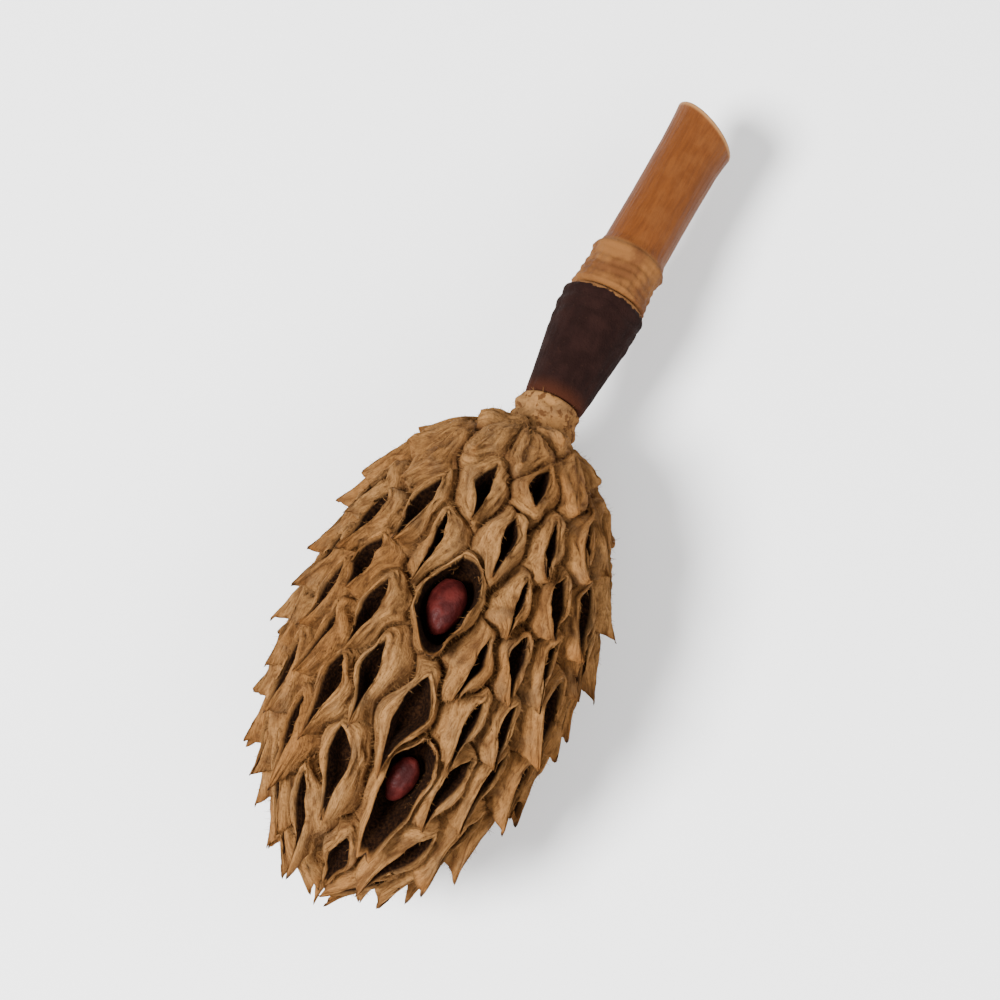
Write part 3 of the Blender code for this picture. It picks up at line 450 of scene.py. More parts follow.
def follicle_spots(outline):
    """(angle, conformal length) of each follicle, on the spiral with a little scatter."""
    rng = random.Random(SEED)
    spots = []
    areas = np.arange(FIRST_FOLLICLE * FOLLICLE_AREA, outline.area[-1] - FOLLICLE_AREA / 2, FOLLICLE_AREA)
    for i, area in enumerate(areas):
        v = np.interp(area, outline.area, outline.v)
        r = np.interp(area, outline.area, outline.r)
        width = math.sqrt(FOLLICLE_AREA / CELL_STRETCH) / r
        turn = i * GOLDEN_ANGLE + width * SCATTER * rng.uniform(-1, 1)
        v += width * CELL_STRETCH * SCATTER * rng.uniform(-1, 1)
        spots.append([turn % (2 * math.pi), v])
    return np.array(spots)


def wrapped(angle):
    """The same angle, from -pi to pi."""
    return (angle + math.pi) % (2 * math.pi) - math.pi


def make_room(outline, spots, x, degrees):
    """Pushes the neighbours of the follicle nearest to a place away from it. Returns its number."""
    v = np.interp(x, outline.x, outline.v)
    r = np.interp(x, outline.x, outline.r)
    across = wrapped(spots[:, 0] - math.radians(degrees))
    away = np.stack([across, (spots[:, 1] - v) / CELL_STRETCH], axis=1)
    chosen = int(np.argmin(np.hypot(away[:, 0], away[:, 1])))
    away -= away[chosen]
    spots[chosen] = [math.radians(degrees), v]
    away[:, 0] = wrapped(away[:, 0])
    width = math.sqrt(FOLLICLE_AREA / CELL_STRETCH) / r
    far = np.hypot(away[:, 0], away[:, 1])
    far[chosen] = 1.0
    push = GAPE_PUSH * width * np.exp(-((far / (GAPE_PUSH_REACH * width)) ** 2)) / far
    push[chosen] = 0.0
    spots[:, 0] += push * away[:, 0]
    spots[:, 1] += push * away[:, 1] * CELL_STRETCH
    return chosen


def circumcentre(a, b, c):
    """The centre of the circle through three points of the plane."""
    ab, ac = b - a, c - a
    double = 2 * (ab[0] * ac[1] - ab[1] * ac[0])
    aa, cc = ab @ ab, ac @ ac
    return a + np.array([ac[1] * aa - ab[1] * cc, ab[0] * cc - ac[0] * aa]) / double


class Cells:
    """The cell of each follicle. corners[k] is (angle, conformal length). rings[i] lists a follicle's corners
    in order. Every cell that meets at a corner has that corner's number."""

    def __init__(self, outline, spots):
        low, high = outline.v[0], outline.v[-1]
        count = len(spots)
        flat = np.array([[turn, v / CELL_STRETCH] for turn, v in spots])
        below = flat * [1, -1] + [0, 2 * low / CELL_STRETCH]
        above = flat * [1, -1] + [0, 2 * high / CELL_STRETCH]
        layer = np.concatenate([flat, below, above])
        points = np.concatenate([layer + [2 * math.pi * k, 0] for k in (-1, 0, 1)])
        owner = np.tile(np.arange(3 * count), 3)
        middle = range(3 * count, 4 * count)
        triangles = delaunay_2d_cdt([Vector(p) for p in points], [], [], 0, 1e-9)[2]
        self.corners, numbers = [], {}
        around = {i: [] for i in middle}
        for triangle in triangles:
            if not any(k in around for k in triangle):
                continue
            centre = circumcentre(*(points[k] for k in triangle))
            key = frozenset(int(owner[k]) for k in triangle)
            if key not in numbers:
                numbers[key] = len(self.corners)
                self.corners.append([centre[0], centre[1] * CELL_STRETCH])
            for k in triangle:
                if k in around:
                    around[k].append((centre, numbers[key]))
        self.corners = np.array(self.corners)
        self.corners[:, 1] = np.clip(self.corners[:, 1], low, high)
        self.spots = spots
        joined = self.join_close_corners(outline, around, low, high)
        self.rings = []
        for k in middle:
            ordered = sorted(around[k], key=lambda it: math.atan2(*(it[0] - points[k])[::-1]))
            ring = []
            for _, number in ordered:
                if joined[number] not in ring[-1:]:
                    ring.append(joined[number])
            if ring[0] == ring[-1]:
                ring.pop()
            self.rings.append(ring)

    def join_close_corners(self, outline, around, low, high):
        """Makes one corner of two that a very short edge joins. Returns each corner's new number."""
        joined = list(range(len(self.corners)))

        def top(n):
            while joined[n] != n:
                n = joined[n]
            return n

        def on_rim(n):
            return min(abs(self.corners[n, 1] - low), abs(self.corners[n, 1] - high)) < 1e-6

        places = outline.point(np.interp(self.corners[:, 1], outline.v, outline.s), self.corners[:, 0], 0.0)
        seen = sorted({n for pairs in around.values() for _, n in pairs})
        for a in seen:
            for b in seen:
                if b <= a or np.linalg.norm(places[a] - places[b]) > SHORTEST_EDGE:
                    continue
                first, second = top(a), top(b)
                if first == second:
                    continue
                if on_rim(second) and not on_rim(first):
                    first, second = second, first
                joined[second] = first
        return [top(n) for n in range(len(joined))]


def evened(outline, spots):
    """The spots, each moved towards the middle of its cell's corners, so that no cell has a long tail."""
    cells = Cells(outline, spots)
    moved = spots.copy()
    for i, ring in enumerate(cells.rings):
        corners = cells.corners[ring]
        moved[i, 0] += EVENING * np.mean(wrapped(corners[:, 0] - spots[i, 0]))
        moved[i, 1] += EVENING * np.mean(corners[:, 1] - spots[i, 1])
    return moved


class Skin:
    """The head's mesh while it grows. Each point has a mark, (depth in the cavity, nearness to a beak's end,
    depth in a groove, its follicle's own tint), and a place in the felt's grain. A coarse skin has the
    solid's form, without the finer swings of lips and strands."""

    def __init__(self, outline, cells, fine):
        self.outline, self.cells, self.fine = outline, cells, fine
        self.edge_step = FINE_EDGE_STEP if fine else EDGE_STEP
        self.points, self.faces, self.edges, self.corner_numbers = [], [], {}, {}
        self.owners = []  # the follicle that each face belongs to
        self.marks, self.grain = [], []

    def add(self, points, marks=EDGE_MARK, grain=(0.0, 0.0, 0.0)):
        """Adds points and returns their numbers."""
        points = np.asarray(points, dtype=float).reshape(-1, 3)
        first = len(self.points)
        self.points.extend(points)
        self.marks.extend(np.broadcast_to(marks, (len(points), 4)))
        self.grain.extend(np.broadcast_to(grain, (len(points), 3)))
        return list(range(first, len(self.points)))

    def groove(self, s):
        """How deep the groove between two follicles is: shallow near the stem."""
        x = np.interp(s, self.outline.s, self.outline.x)
        return GROOVE_DEPTH * from_stem(*GROOVES_AT_STEM, x / HEAD_LENGTH)

    def edge_points(self, a, b):
        """Numbers and places of the points from corner a up to, but without, corner b. Both neighbours use
        them."""
        if (a, b) in self.edges:
            return self.edges[a, b]
        if (b, a) in self.edges:
            numbers, flats = self.edges[b, a]
            numbers = [self.corner(a)[0]] + numbers[:0:-1]
            flats = [self.corner(a)[1]] + flats[:0:-1]
            self.edges[a, b] = (numbers, flats)
            return self.edges[a, b]
        numbers, flats = [self.corner(a)[0]], [self.corner(a)[1]]
        start, end = np.array(self.corner(a)[1]), np.array(self.corner(b)[1])
        way = np.array([wrapped(end[0] - start[0]), end[1] - start[1]])
        r = self.outline.radius((start[1] + end[1]) / 2)
        across = np.array([way[0] * r, way[1]])
        length = np.hypot(*across)
        bits = max(1, round(length / self.edge_step))
        rim = (self.outline.s[0], self.outline.s[-1])
        on_rim = any(max(abs(start[1] - s), abs(end[1] - s)) < SAME_PLACE for s in rim)
        swing = 0.0 if on_rim else EDGE_WAVE * length * random.Random(a * EDGE_SEED + b).uniform(-1, 1)
        for k in range(1, bits):
            share = k / bits
            side = swing * math.sin(2 * math.pi * share) if bits > 2 else swing / 2
            turn = start[0] + way[0] * share - side * across[1] / length / r
            s = start[1] + way[1] * share + side * across[0] / length
            flats.append((turn, s))
            numbers += self.add(self.outline.point(s, turn, -self.groove(s)))
        self.edges[a, b] = (numbers, flats)
        return self.edges[a, b]

    def corner(self, k):
        """(number, (angle, arc length)) of a cell corner."""
        if k not in self.corner_numbers:
            turn, v = self.cells.corners[k]
            s = float(np.interp(v, self.outline.v, self.outline.s))
            (number,) = self.add(self.outline.point(s, turn, -self.groove(s)))
            self.corner_numbers[k] = (number, (turn, s))
        return self.corner_numbers[k]

    def cell_edge(self, i):
        """Numbers and (across, along) places, from the follicle's own spot, of the points round its cell."""
        ring = self.cells.rings[i]
        numbers, flats = [], []
        for a, b in zip(ring, ring[1:] + ring[:1]):
            more, places = self.edge_points(a, b)
            numbers += more
            flats += places
        turn, v = self.cells.spots[i]
        s = np.interp(v, self.outline.v, self.outline.s)
        flats = np.array(flats)
        along = flats[:, 1] - s
        across = wrapped(flats[:, 0] - turn) * self.outline.radius(flats[:, 1])
        return numbers, np.stack([across, along], axis=1)

    def bridge(self, outer, inner, nearness, from_inner):
        """A band of triangles between two rings with as many points. Each four are split from the point that
        is nearer to the beak, on the inner or the outer ring, so that the beak's sides stay convex."""
        count = len(outer)
        for k in range(count):
            j = (k + 1) % count
            a, b, c, d = outer[k], outer[j], inner[j], inner[k]
            if (nearness[k] > nearness[j]) == from_inner:
                self.faces += [(a, b, d), (b, c, d)]
            else:
                self.faces += [(a, b, c), (a, c, d)]


class Follicle:
    """One follicle's own shape. It draws its own numbers, so it doesn't hang on the follicles before it."""

    def __init__(self, skin, i, gapes, kept):
        self.skin, self.number, self.gapes = skin, i, gapes
        self.turn, v = skin.cells.spots[i]
        outline = skin.outline
        self.s = float(np.interp(v, outline.v, outline.s))
        x = np.interp(self.s, outline.s, outline.x) / HEAD_LENGTH
        self.numbers, self.edge = skin.cell_edge(i)
        rng = random.Random(SEED * 1000 + i)
        self.closed = x * HEAD_LENGTH < rng.uniform(CLOSED_UNTIL, LAST_CLOSED)
        self.opening = rng.triangular(*OPENINGS) * from_stem(*OPENINGS_AT_STEM, x)
        self.bow = rng.uniform(*BOWS)
        self.lean = math.radians(BEAK_LEAN + rng.uniform(*LEANS))
        self.side = rng.uniform(*SIDES)
        self.beak = BEAK_LENGTH * rng.uniform(*BEAK_LENGTHS) * from_stem(*BEAKS_AT_STEM, x)
        self.beak *= 1 + TIP_BEAKS * smooth_step(*TIP_BEAKS_FROM, x)
        self.rise = LIP_RISE * rng.uniform(*RISES)
        self.height = STRAND_HEIGHT * rng.uniform(*HEIGHTS) * from_stem(*STRANDS_AT_STEM, x)
        self.depth = min(CAVITY_DEPTH * rng.uniform(*DEPTHS), DEEPEST * float(outline.radius(self.s)))
        if self.closed:
            self.opening *= SEAM_WIDTH
        self.detail = 1.0 if skin.fine else 0.0
        self.fork = self.detail * (rng.uniform(*FORK_DEPTHS) if rng.random() < FORKED_SHARE else 0.0)
        self.tint = rng.random()
        self.wobble = [rng.uniform(0, 2 * math.pi) for _ in LIP_WAVES]
        self.narrowing, self.sharpness, self.slit_room = NARROWING, SHARPNESS, SLIT_ROOM
        if gapes:
            self.narrowing, self.sharpness, self.slit_room = GAPE_NARROWING, GAPE_SHARPNESS, GAPE_ROOM
            self.opening, self.depth, self.height = GAPE_ROOM, GAPE_DEPTH, STRAND_HEIGHT
            self.bow *= GAPE_BOW
        self.beak *= kept
        self.side *= kept
        self.bow *= kept
        self.opening *= kept
        self.measure_cell()

    def measure_cell(self):
        """Where each edge point lies round the slit, and how far the slit reaches in the cell."""
        across, along = self.edge[:, 0], self.edge[:, 1]
        up = int(np.argmax(along - END_SLANT * np.abs(across)))
        down = int(np.argmax(-along - END_SLANT * np.abs(across)))
        self.angle = np.empty(len(self.edge))
        self.right = self.spread(down, up, -math.pi / 2)
        self.left = self.spread(up, down, math.pi / 2)
        share, longest, widest = SLIT_REACH, LONGEST_REACH, WIDEST_ROOM
        if self.gapes:
            share, longest, widest = GAPE_REACH, LONGEST_GAPE, WIDEST_GAPE_ROOM
        self.tip_reach = min(share * along[up], longest)
        self.stem_reach = min(-share * along[down], longest)
        self.tip_skew = across[up] / along[up]
        self.stem_skew = across[down] / along[down]
        room = min(abs(self.side_at(side, 0.0)) for side in (self.left, self.right))
        self.half_width = max(self.opening * min(room, widest), NARROWEST_SLIT / 2)
        self.beak *= min(1.0, along[up] / BEAK_ROOM)

    def spread(self, first, last, start):
        """Shares half a turn, from the angle start, among the edge points from first to last by their
        distances. Returns that side of the cell as (along, across) places, from the stem end up."""
        count = len(self.edge)
        chain = [(first + k) % count for k in range((last - first) % count + 1)]
        steps = np.linalg.norm(np.diff(self.edge[chain], axis=0), axis=1)
        self.angle[chain] = start + math.pi * np.concatenate([[0.0], np.cumsum(steps) / steps.sum()])
        return np.array(sorted((self.edge[k, 1], self.edge[k, 0]) for k in chain))

    @staticmethod
    def side_at(side, along):
        """How far across that side of the cell is, at these places along it."""
        return np.interp(along, side[:, 0], side[:, 1])

    def slit(self, scale):
        """(across, along) places round the slit, drawn in by this scale."""
        cos, sin = np.cos(self.angle), np.sin(self.angle)
        along = np.where(sin > 0, self.tip_reach, self.stem_reach) * sin * scale
        axis = np.where(sin > 0, self.tip_skew, self.stem_skew) * along
        width = SLIT_BASE * np.abs(cos) + (1 - SLIT_BASE) * np.abs(cos) ** self.sharpness
        wish = np.sign(cos) * width + self.bow * cos**2
        wish = wish * self.half_width * scale + self.waver(scale)
        most = self.slit_room * (self.side_at(self.right, along) - axis)
        least = self.slit_room * (self.side_at(self.left, along) - axis)
        return np.stack([axis + np.clip(wish, least, most), along], axis=1)

    def waver(self, scale):
        """How far the lip swings in and out on its way round the slit."""
        waves = zip(LIP_WAVES, self.wobble)
        swing = sum(share * np.sin(count * self.angle + start) for (count, share), start in waves)
        waver = RAGGED_WAVER if self.gapes else LIP_WAVER
        return self.detail * waver * scale * np.cos(self.angle) ** 2 * swing

    def ring(self, places, height, share):
        """Points over these places of the cell, its beak drawn out as it is at this share from the lip."""
        beak_share = (1 - share) ** BEAK_POWER
        s = np.clip(self.s + places[:, 1], self.skin.outline.s[0], self.skin.outline.s[-1])
        turn = self.turn + places[:, 0] / self.skin.outline.radius(s)
        points = self.skin.outline.point(s, turn, height)
        around, along, out = self.skin.outline.axes(np.array(self.s), np.array(self.turn))
        off = wrapped(self.angle - math.pi / 2)
        nearness = np.exp(-((off / math.radians(BEAK_WIDTH)) ** 2))
        split = self.fork * np.exp(-((off / math.radians(FORK_WIDTH)) ** 2)) * beak_share
        pull = (nearness * (1 - split) * self.beak)[:, None]
        forward = math.sin(self.lean) * along + math.cos(self.lean) * out
        curl = self.detail * CURL * self.beak * (nearness[:, None] * beak_share) ** 3 * out
        aside = np.sin(2 * np.clip(off, -FORK_REACH, FORK_REACH))
        parted = (self.fork * FORK_SPREAD * beak_share * nearness * aside)[:, None]
        points = points + pull * (beak_share * forward + beak_share * self.side * around)
        return points + curl - parted * around, nearness * beak_share

    def lip_lift(self):
        """How much higher the lip is, towards its beak, than at its stem end."""
        return self.rise * ((1 + np.sin(self.angle)) / 2) ** LIFT_POWER

    def strand(self, share):
        """A ring on the felted strand: share 1 is the cell's edge and 0 the lip."""
        lip = self.slit(1.0)
        places = lip + (self.edge - lip) * share
        height = self.height + self.lip_lift() * (1 - share)
        edge_height = -self.skin.groove(self.s + places[:, 1])
        height = height + (edge_height - height) * share**STRAND_POWER
        height = height - LIP_DROP * max(0.0, 1 - share / LIP_CURL) ** 2
        swell = np.sin(self.angle * ROPE_WAVES[0] + self.wobble[1] + ROPE_WAVES[1] * share)
        height = height + self.detail * ROPE * math.sin(math.pi * share) * swell
        points, tip = self.ring(places, height, share)
        return points, self.mark(0.0, tip, share**3), self.grain(share)

    def mark(self, depth, tip, groove):
        """The marks of one ring."""
        parts = (depth, tip, groove, self.tint)
        return np.stack([np.broadcast_to(part, len(self.angle)) for part in parts], axis=1)

    def grain(self, share):
        """Where a ring lies in the felt's grain, which runs round the slit."""
        across = np.full(len(self.angle), GRAIN_ACROSS * share + GRAIN_APART * self.number)
        across = across + GRAIN_SWAY * np.sin(2 * self.angle + self.wobble[0])
        return np.stack([across, GRAIN_ROUND * np.cos(self.angle), GRAIN_ROUND * np.sin(self.angle)], axis=1)

    def cavity(self, share):
        """A ring in the cavity: share 0 is the lip and 1 the floor."""
        towards_beak = ((1 + np.sin(self.angle)) / 2) ** RUN_OUT_POWER
        run_out = 1 - SLIT_RUN_OUT * min(1.0, RUN_OUT_START * (1 - share)) * towards_beak
        height = self.height + self.lip_lift() * (1 - share) - self.depth * share * run_out
        places = self.slit(1 - self.narrowing * share)
        points, tip = self.ring(places, height, share)
        return points, self.mark(share, tip * (1 - share), 0.0), self.grain(-share)

    def seed_size(self):
        """The thickness, width and length of a seed that fills this follicle's slit."""
        width = min(SEED_FILL * 2 * self.half_width, WIDEST_SEED)
        return SEED_THICKNESS * width, width, SEED_LENGTH * width

    def seat(self, shift):
        """Where a seed lies, this share of the slit's length from its middle: +Z along the slit, +X out."""
        length = self.tip_reach + self.stem_reach
        along = (self.tip_reach - self.stem_reach) / 2 + shift * length
        beside = np.abs(self.slit(1.0)[:, 1] - along) < self.seed_size()[2] / 3
        lips = self.slit(1.0)[beside, 0]
        outline = self.skin.outline
        s = self.s + along
        turn = self.turn + (lips.min() + lips.max()) / 2 / float(outline.radius(s))
        around, tipward, out = (Vector(axis) for axis in outline.axes(np.array(s), np.array(turn)))
        slant = (self.tip_skew * self.tip_reach + self.stem_skew * self.stem_reach) / length
        upright = Matrix((out, around, tipward)).transposed().to_4x4()
        place = Matrix.Translation(outline.point(s, turn, -SEED_SINK))
        return place @ upright @ Matrix.Rotation(-math.atan(slant), 4, "X")

    def build(self, strand_shares, cavity_shares):
        """Adds the follicle's rings and its floor to the skin."""
        if self.closed:
            strand_shares = [share for share in strand_shares if share > CLOSED_RING] + [CLOSED_RING]
            cavity_shares = ()
        nearness = np.sin(self.angle)
        outer = self.numbers
        for share in strand_shares:
            inner = self.skin.add(*self.strand(share))
            self.skin.bridge(outer, inner, nearness, True)
            outer = inner
        for share in cavity_shares:
            inner = self.skin.add(*self.cavity(share))
            self.skin.bridge(outer, inner, nearness, False)
            outer = inner
        floor_mark = (0.0, 0.0, SEAM_MARK, self.tint) if self.closed else (1.0, 0.0, 0.0, self.tint)
        floor_grain = np.mean([self.skin.grain[k] for k in outer], axis=0)
        centre = np.mean([self.skin.points[k] for k in outer], axis=0)
        (floor,) = self.skin.add(centre, floor_mark, floor_grain)
        self.skin.faces += [(a, b, floor) for a, b in zip(outer, outer[1:] + outer[:1])]
        self.skin.owners += [self.number] * (len(self.skin.faces) - len(self.skin.owners))


def rim_loop(skin, s):
    """The numbers round one open rim of the skin, in order of angle, with the angles."""
    found = {}
    for numbers, flats in skin.edges.values():
        for number, (turn, at) in zip(numbers, flats):
            if abs(at - s) < SAME_PLACE:
                found[number] = turn % (2 * math.pi)
    numbers = sorted(found, key=found.get)
    return numbers, [found[n] for n in numbers]


def close_rims(skin):
    """Rounds the tip off, and carries the skin on as the bumpy collar to its flat foot."""
    outline = skin.outline
    numbers, _ = rim_loop(skin, outline.s[-1])
    (tip,) = skin.add([[outline.x[-1] + TIP_PLUG_RISE, 0, 0]])
    skin.faces += [(b, a, tip) for a, b in zip(numbers, numbers[1:] + numbers[:1])]
    outer, angles = rim_loop(skin, outline.s[0])
    for row in range(1, FINE_COLLAR_ROWS + 1):
        share = row / FINE_COLLAR_ROWS
        swell = math.sin(math.pi * share) ** SWELL_POWER
        ring = []
        for turn in angles:
            knob = wave(share, turn, *KNOB_WAVES)
            r = COLLAR_RADIUS * (1 + swell * (KNOBS * knob + COLLAR_SWELL))
            ring.append([-COLLAR_LENGTH * share, r * math.cos(turn), r * math.sin(turn)])
        inner = skin.add(ring, COLLAR_MARK)
        skin.bridge(inner, outer, np.zeros(len(outer)), True)
        outer = inner
    (middle,) = skin.add([[-COLLAR_LENGTH, 0, 0]], COLLAR_MARK)
    skin.faces += [(b, a, middle) for a, b in zip(outer, outer[1:] + outer[:1])]


def crossing_follicles(skin):
    """The follicles of the faces that run through one another."""
    tree = BVHTree.FromPolygons([Vector(p) for p in skin.points], skin.faces)
    found = set()
    for a, b in tree.overlap(tree):
        if a < b < len(skin.owners) and not set(skin.faces[a]) & set(skin.faces[b]):
            found |= {skin.owners[a], skin.owners[b]}
    return found


def grown(outline, cells, gaping, kept, fine):
    """A skin with every follicle in it, each with its share of its slit and beak."""
    skin = Skin(outline, cells, fine)
    follicles = [Follicle(skin, i, i in gaping, kept[i]) for i in range(len(kept))]
    skin.gaping = [follicles[i] for i in gaping]
    shares = (FINE_STRAND_SHARES, FINE_CAVITY_SHARES) if fine else (STRAND_SHARES, CAVITY_SHARES)
    for follicle in follicles:
        follicle.build(*shares)
    return skin


def head_skin():
    """The fine skin. Coarse ones, like the solid's, come first: they show which slits are made smaller."""
    outline = Outline()
    spots = follicle_spots(outline)
    for _ in range(EVENING_ROUNDS):
        spots = evened(outline, spots)
    gaping = [make_room(outline, spots, x, degrees) for x, degrees, _ in SEED_PLACES]
    cells = Cells(outline, spots)
    kept = [1.0] * len(spots)
    for _ in range(MOST_REMAKES):
        crossing = crossing_follicles(grown(outline, cells, gaping, kept, False))
        if not crossing:
            break
        for i in crossing:
            kept[i] *= REMAKE_SHARE
    skin = grown(outline, cells, gaping, kept, True)
    close_rims(skin)
    return skin


# Meshes


def laid_down():
    """The turn and move that lay the pod on its resting points."""
    pitched = Matrix.Rotation(math.radians(LAY_PITCH), 4, "Y")
    return Matrix.Translation(LAY_PLACE) @ pitched @ Matrix.Rotation(math.radians(LAY_ROLL), 4, "X")


def mesh_object(name, points, faces):
    mesh = bpy.data.meshes.new(name)
    mesh.from_pydata([tuple(map(float, p)) for p in points], [], faces)
    mesh.validate()
    mesh.shade_smooth()
    obj = bpy.data.objects.new(name, mesh)
    bpy.context.scene.collection.objects.link(obj)
    return obj


def moved(points, matrix):
    """Points as an array, moved by a matrix, and none below the surface that the pod rests on."""
    points = np.asarray(points, dtype=float)
    points = points @ np.array(matrix.to_3x3()).T + np.array(matrix.translation)
    points[:, 2] = np.maximum(points[:, 2], 0.0)
    return points


def set_points(obj, points):
    obj.data.vertices.foreach_set("co", np.asarray(points, dtype=np.float32).ravel())
    obj.data.update()


def get_points(obj):
    points = np.empty(3 * len(obj.data.vertices), dtype=np.float32)
    obj.data.vertices.foreach_get("co", points)
    return points.reshape(-1, 3).astype(float)


def point_normals(obj):
    normals = np.empty(3 * len(obj.data.vertices), dtype=np.float32)
    obj.data.vertex_normals.foreach_get("vector", normals)
    return normals.reshape(-1, 3).astype(float)


def paint(obj, name, values):
    """Stores a colour for each point, which the material reads by this name."""
    values = np.asarray(values, dtype=np.float32)
    if values.shape[1] == 3:
        values = np.concatenate([values, np.ones((len(values), 1), dtype=np.float32)], axis=1)
    layer = obj.data.attributes.new(name, "FLOAT_COLOR", "POINT")
    layer.data.foreach_set("color", values.ravel())


def head():
    """The felted head with its collar."""
    skin = head_skin()
    lay = laid_down()
    obj = mesh_object("head_felt", moved(skin.points, lay), skin.faces)
    points, normals = get_points(obj), point_normals(obj)
    marks, grain = np.array(skin.marks), np.array(skin.grain)
    lift = np.zeros(len(points))
    for waves, height in RELIEF:
        lift += height * np.array([noise.noise(Vector(p) * waves) for p in points])
    on_strand = 1 - smooth_step(0.0, CORDS_END, np.abs(marks[:, 0]))
    cord = np.abs([noise.noise(Vector(g)) for g in grain])
    crest = np.minimum(cord / CORD_EDGE, 1.0) ** CORD_POWER
    lift += CORD_RELIEF * (crest - CORD_LEVEL) * on_strand
    lift *= (1 - SMOOTH_CAVITY * np.clip(marks[:, 0], 0, 1)) * (1 - SMOOTH_BEAK * marks[:, 1])
    # painted shade between the cords, carried as a depth in a groove
    marks[:, 2] = np.maximum(marks[:, 2], CORD_SHADE * (1 - crest) * on_strand)
    points = points + normals * lift[:, None]
    points[:, 2] = np.maximum(points[:, 2], 0.0)
    set_points(obj, points)
    paint(obj, "form", marks)
    paint(obj, "grain", grain)
    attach(obj, "root")
    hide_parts("seed_head")
    material = felt_material()
    obj.data.materials.append(material)
    fuzz(obj, marks, grain, material)
    return skin


def fuzz(head_obj, marks, grain, material):
    """Short stiff hairs all over the felt, each a thin spike with its root in the skin."""
    mesh = head_obj.data
    mesh.calc_loop_triangles()
    corners = np.empty(3 * len(mesh.loop_triangles), dtype=np.int32)
    mesh.loop_triangles.foreach_get("vertices", corners)
    corners = corners.reshape(-1, 3)
    points, normals = get_points(head_obj), point_normals(head_obj)
    a, b, c = (points[corners[:, k]] for k in range(3))
    area = np.linalg.norm(np.cross(b - a, c - a), axis=1)
    bare = (marks[corners, 0].max(axis=1) > FUZZ_DEEPEST) | (a[:, 2] < FUZZ_LOWEST)
    area[bare] = 0.0
    draw = np.random.RandomState(SEED)
    chosen = corners[draw.choice(len(corners), HAIRS, p=area / area.sum())]
    shares = draw.dirichlet((1.0, 1.0, 1.0), HAIRS)[:, :, None]
    root = (points[chosen] * shares).sum(axis=1)
    out = (normals[chosen] * shares).sum(axis=1)
    tipward = np.array(laid_down().to_3x3() @ Vector((1, 0, 0)))
    way = out + FUZZ_LEAN * tipward + FUZZ_TANGLE * draw.normal(size=(HAIRS, 3))
    way /= np.linalg.norm(way, axis=1)[:, None]
    root_marks = (marks[chosen] * shares).sum(axis=1)
    length = draw.uniform(*HAIR_LENGTHS, HAIRS) * (1 - SHORT_AT_BEAK * np.clip(root_marks[:, 1], 0, 1))
    beside = np.cross(way, draw.normal(size=(HAIRS, 3)))
    beside /= np.linalg.norm(beside, axis=1)[:, None]
    third = np.cross(way, beside)
    hairs = [root + way * length[:, None]]
    for k in range(3):
        turn = 2 * math.pi * k / 3
        aside = math.cos(turn) * beside + math.sin(turn) * third
        hairs.append(root - HAIR_SUNK * out + HAIR_RADIUS * aside)
    hairs = np.stack(hairs, axis=1).reshape(-1, 3)
    hairs[:, 2] = np.maximum(hairs[:, 2], 0.0)
    spike = ((0, 1, 2), (0, 2, 3), (0, 3, 1), (3, 2, 1))
    faces = [tuple(4 * k + n for n in face) for k in range(HAIRS) for face in spike]
    obj = mesh_object("head_fuzz", hairs, faces)
    hair_marks = np.repeat(root_marks, 4, axis=0)
    # a hair takes on a share of the painted shade of its groove
    hair_marks[:, 2] *= HAIR_GROOVE_SHADE
    hair_marks[::4, 3] = 1.0  # the ends are pale
    paint(obj, "form", hair_marks)
    paint(obj, "grain", np.repeat((grain[chosen] * shares).sum(axis=1), 4, axis=0))
    obj.data.materials.append(material)
    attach(obj, "root")


def turned_points(profile, around, rows, shape):
    """Points of a turned form: rings from the first profile point to the last. shape(height, turn) says how
    far out of the profile the surface is there."""
    heights, radii = (np.array(column) for column in zip(*profile))
    way = np.concatenate([[0.0], np.cumsum(np.hypot(np.diff(heights), np.diff(radii)))])
    points = []
    for row in range(rows + 1):
        at = way[-1] * row / rows
        height, radius = np.interp(at, way, heights), np.interp(at, way, radii)
        for k in range(around):
            turn = 2 * math.pi * k / around
            out = shape(height, turn)
            r = max(radius + out * min(1.0, radius / CALM_RADIUS), 0.0)
            points.append((r * math.cos(turn), r * math.sin(turn), height))
    return points


def turned(name, profile, around, rows, shape, matrix):
    """A closed turned piece whose profile starts and ends near the axis."""
    points = turned_points(profile, around, rows, shape)
    faces = []
    for row in range(rows):
        for k in range(around):
            j = (k + 1) % around
            a, b = row * around + k, row * around + j
            faces.append((a, b, b + around, a + around))
    last = rows * around
    for first, flip in ((0, True), (last, False)):
        ring = list(range(first, first + around))
        points.append(tuple(np.mean([points[k] for k in ring], axis=0)))
        middle = len(points) - 1
        for k in range(around):
            a, b = ring[k], ring[(k + 1) % around]
            faces.append((b, a, middle) if flip else (a, b, middle))
    obj = mesh_object(name, moved(points, matrix), faces)
    paint(obj, "local", np.array(points) * CENTIMETRES)
    return obj


def wave(height, turn, fine, round_fine, seed=0.0):
    """Smooth noise over a turned piece, from waves along it and waves round it."""
    across = (round_fine * math.cos(turn), round_fine * math.sin(turn))
    return noise.noise(Vector((height * fine + seed, *across)))


def relief(height, turn, waves):
    """The sum of these waves over a turned piece, each with its height."""
    return sum(size * wave(height, turn, *numbers) for *numbers, size in waves)


def rings(height, turn, size, apart, stray):
    """Rings round a turned piece, that stray a little along it."""
    return size * math.sin((height + relief(height, turn, stray)) * 2 * math.pi / apart)


def away_from_head(degrees):
    """Turns +Z to point back along the stem, bent this far off the head's axis."""
    bent_down = Matrix.Rotation(math.radians(-90 - degrees), 4, "Y")
    return Matrix.Rotation(math.radians(90 + BEND_AT), 4, "X") @ bent_down


def stalk_place():
    return laid_down() @ Matrix.Translation((-COLLAR_LENGTH - GAP, 0, 0)) @ away_from_head(STALK_BEND)


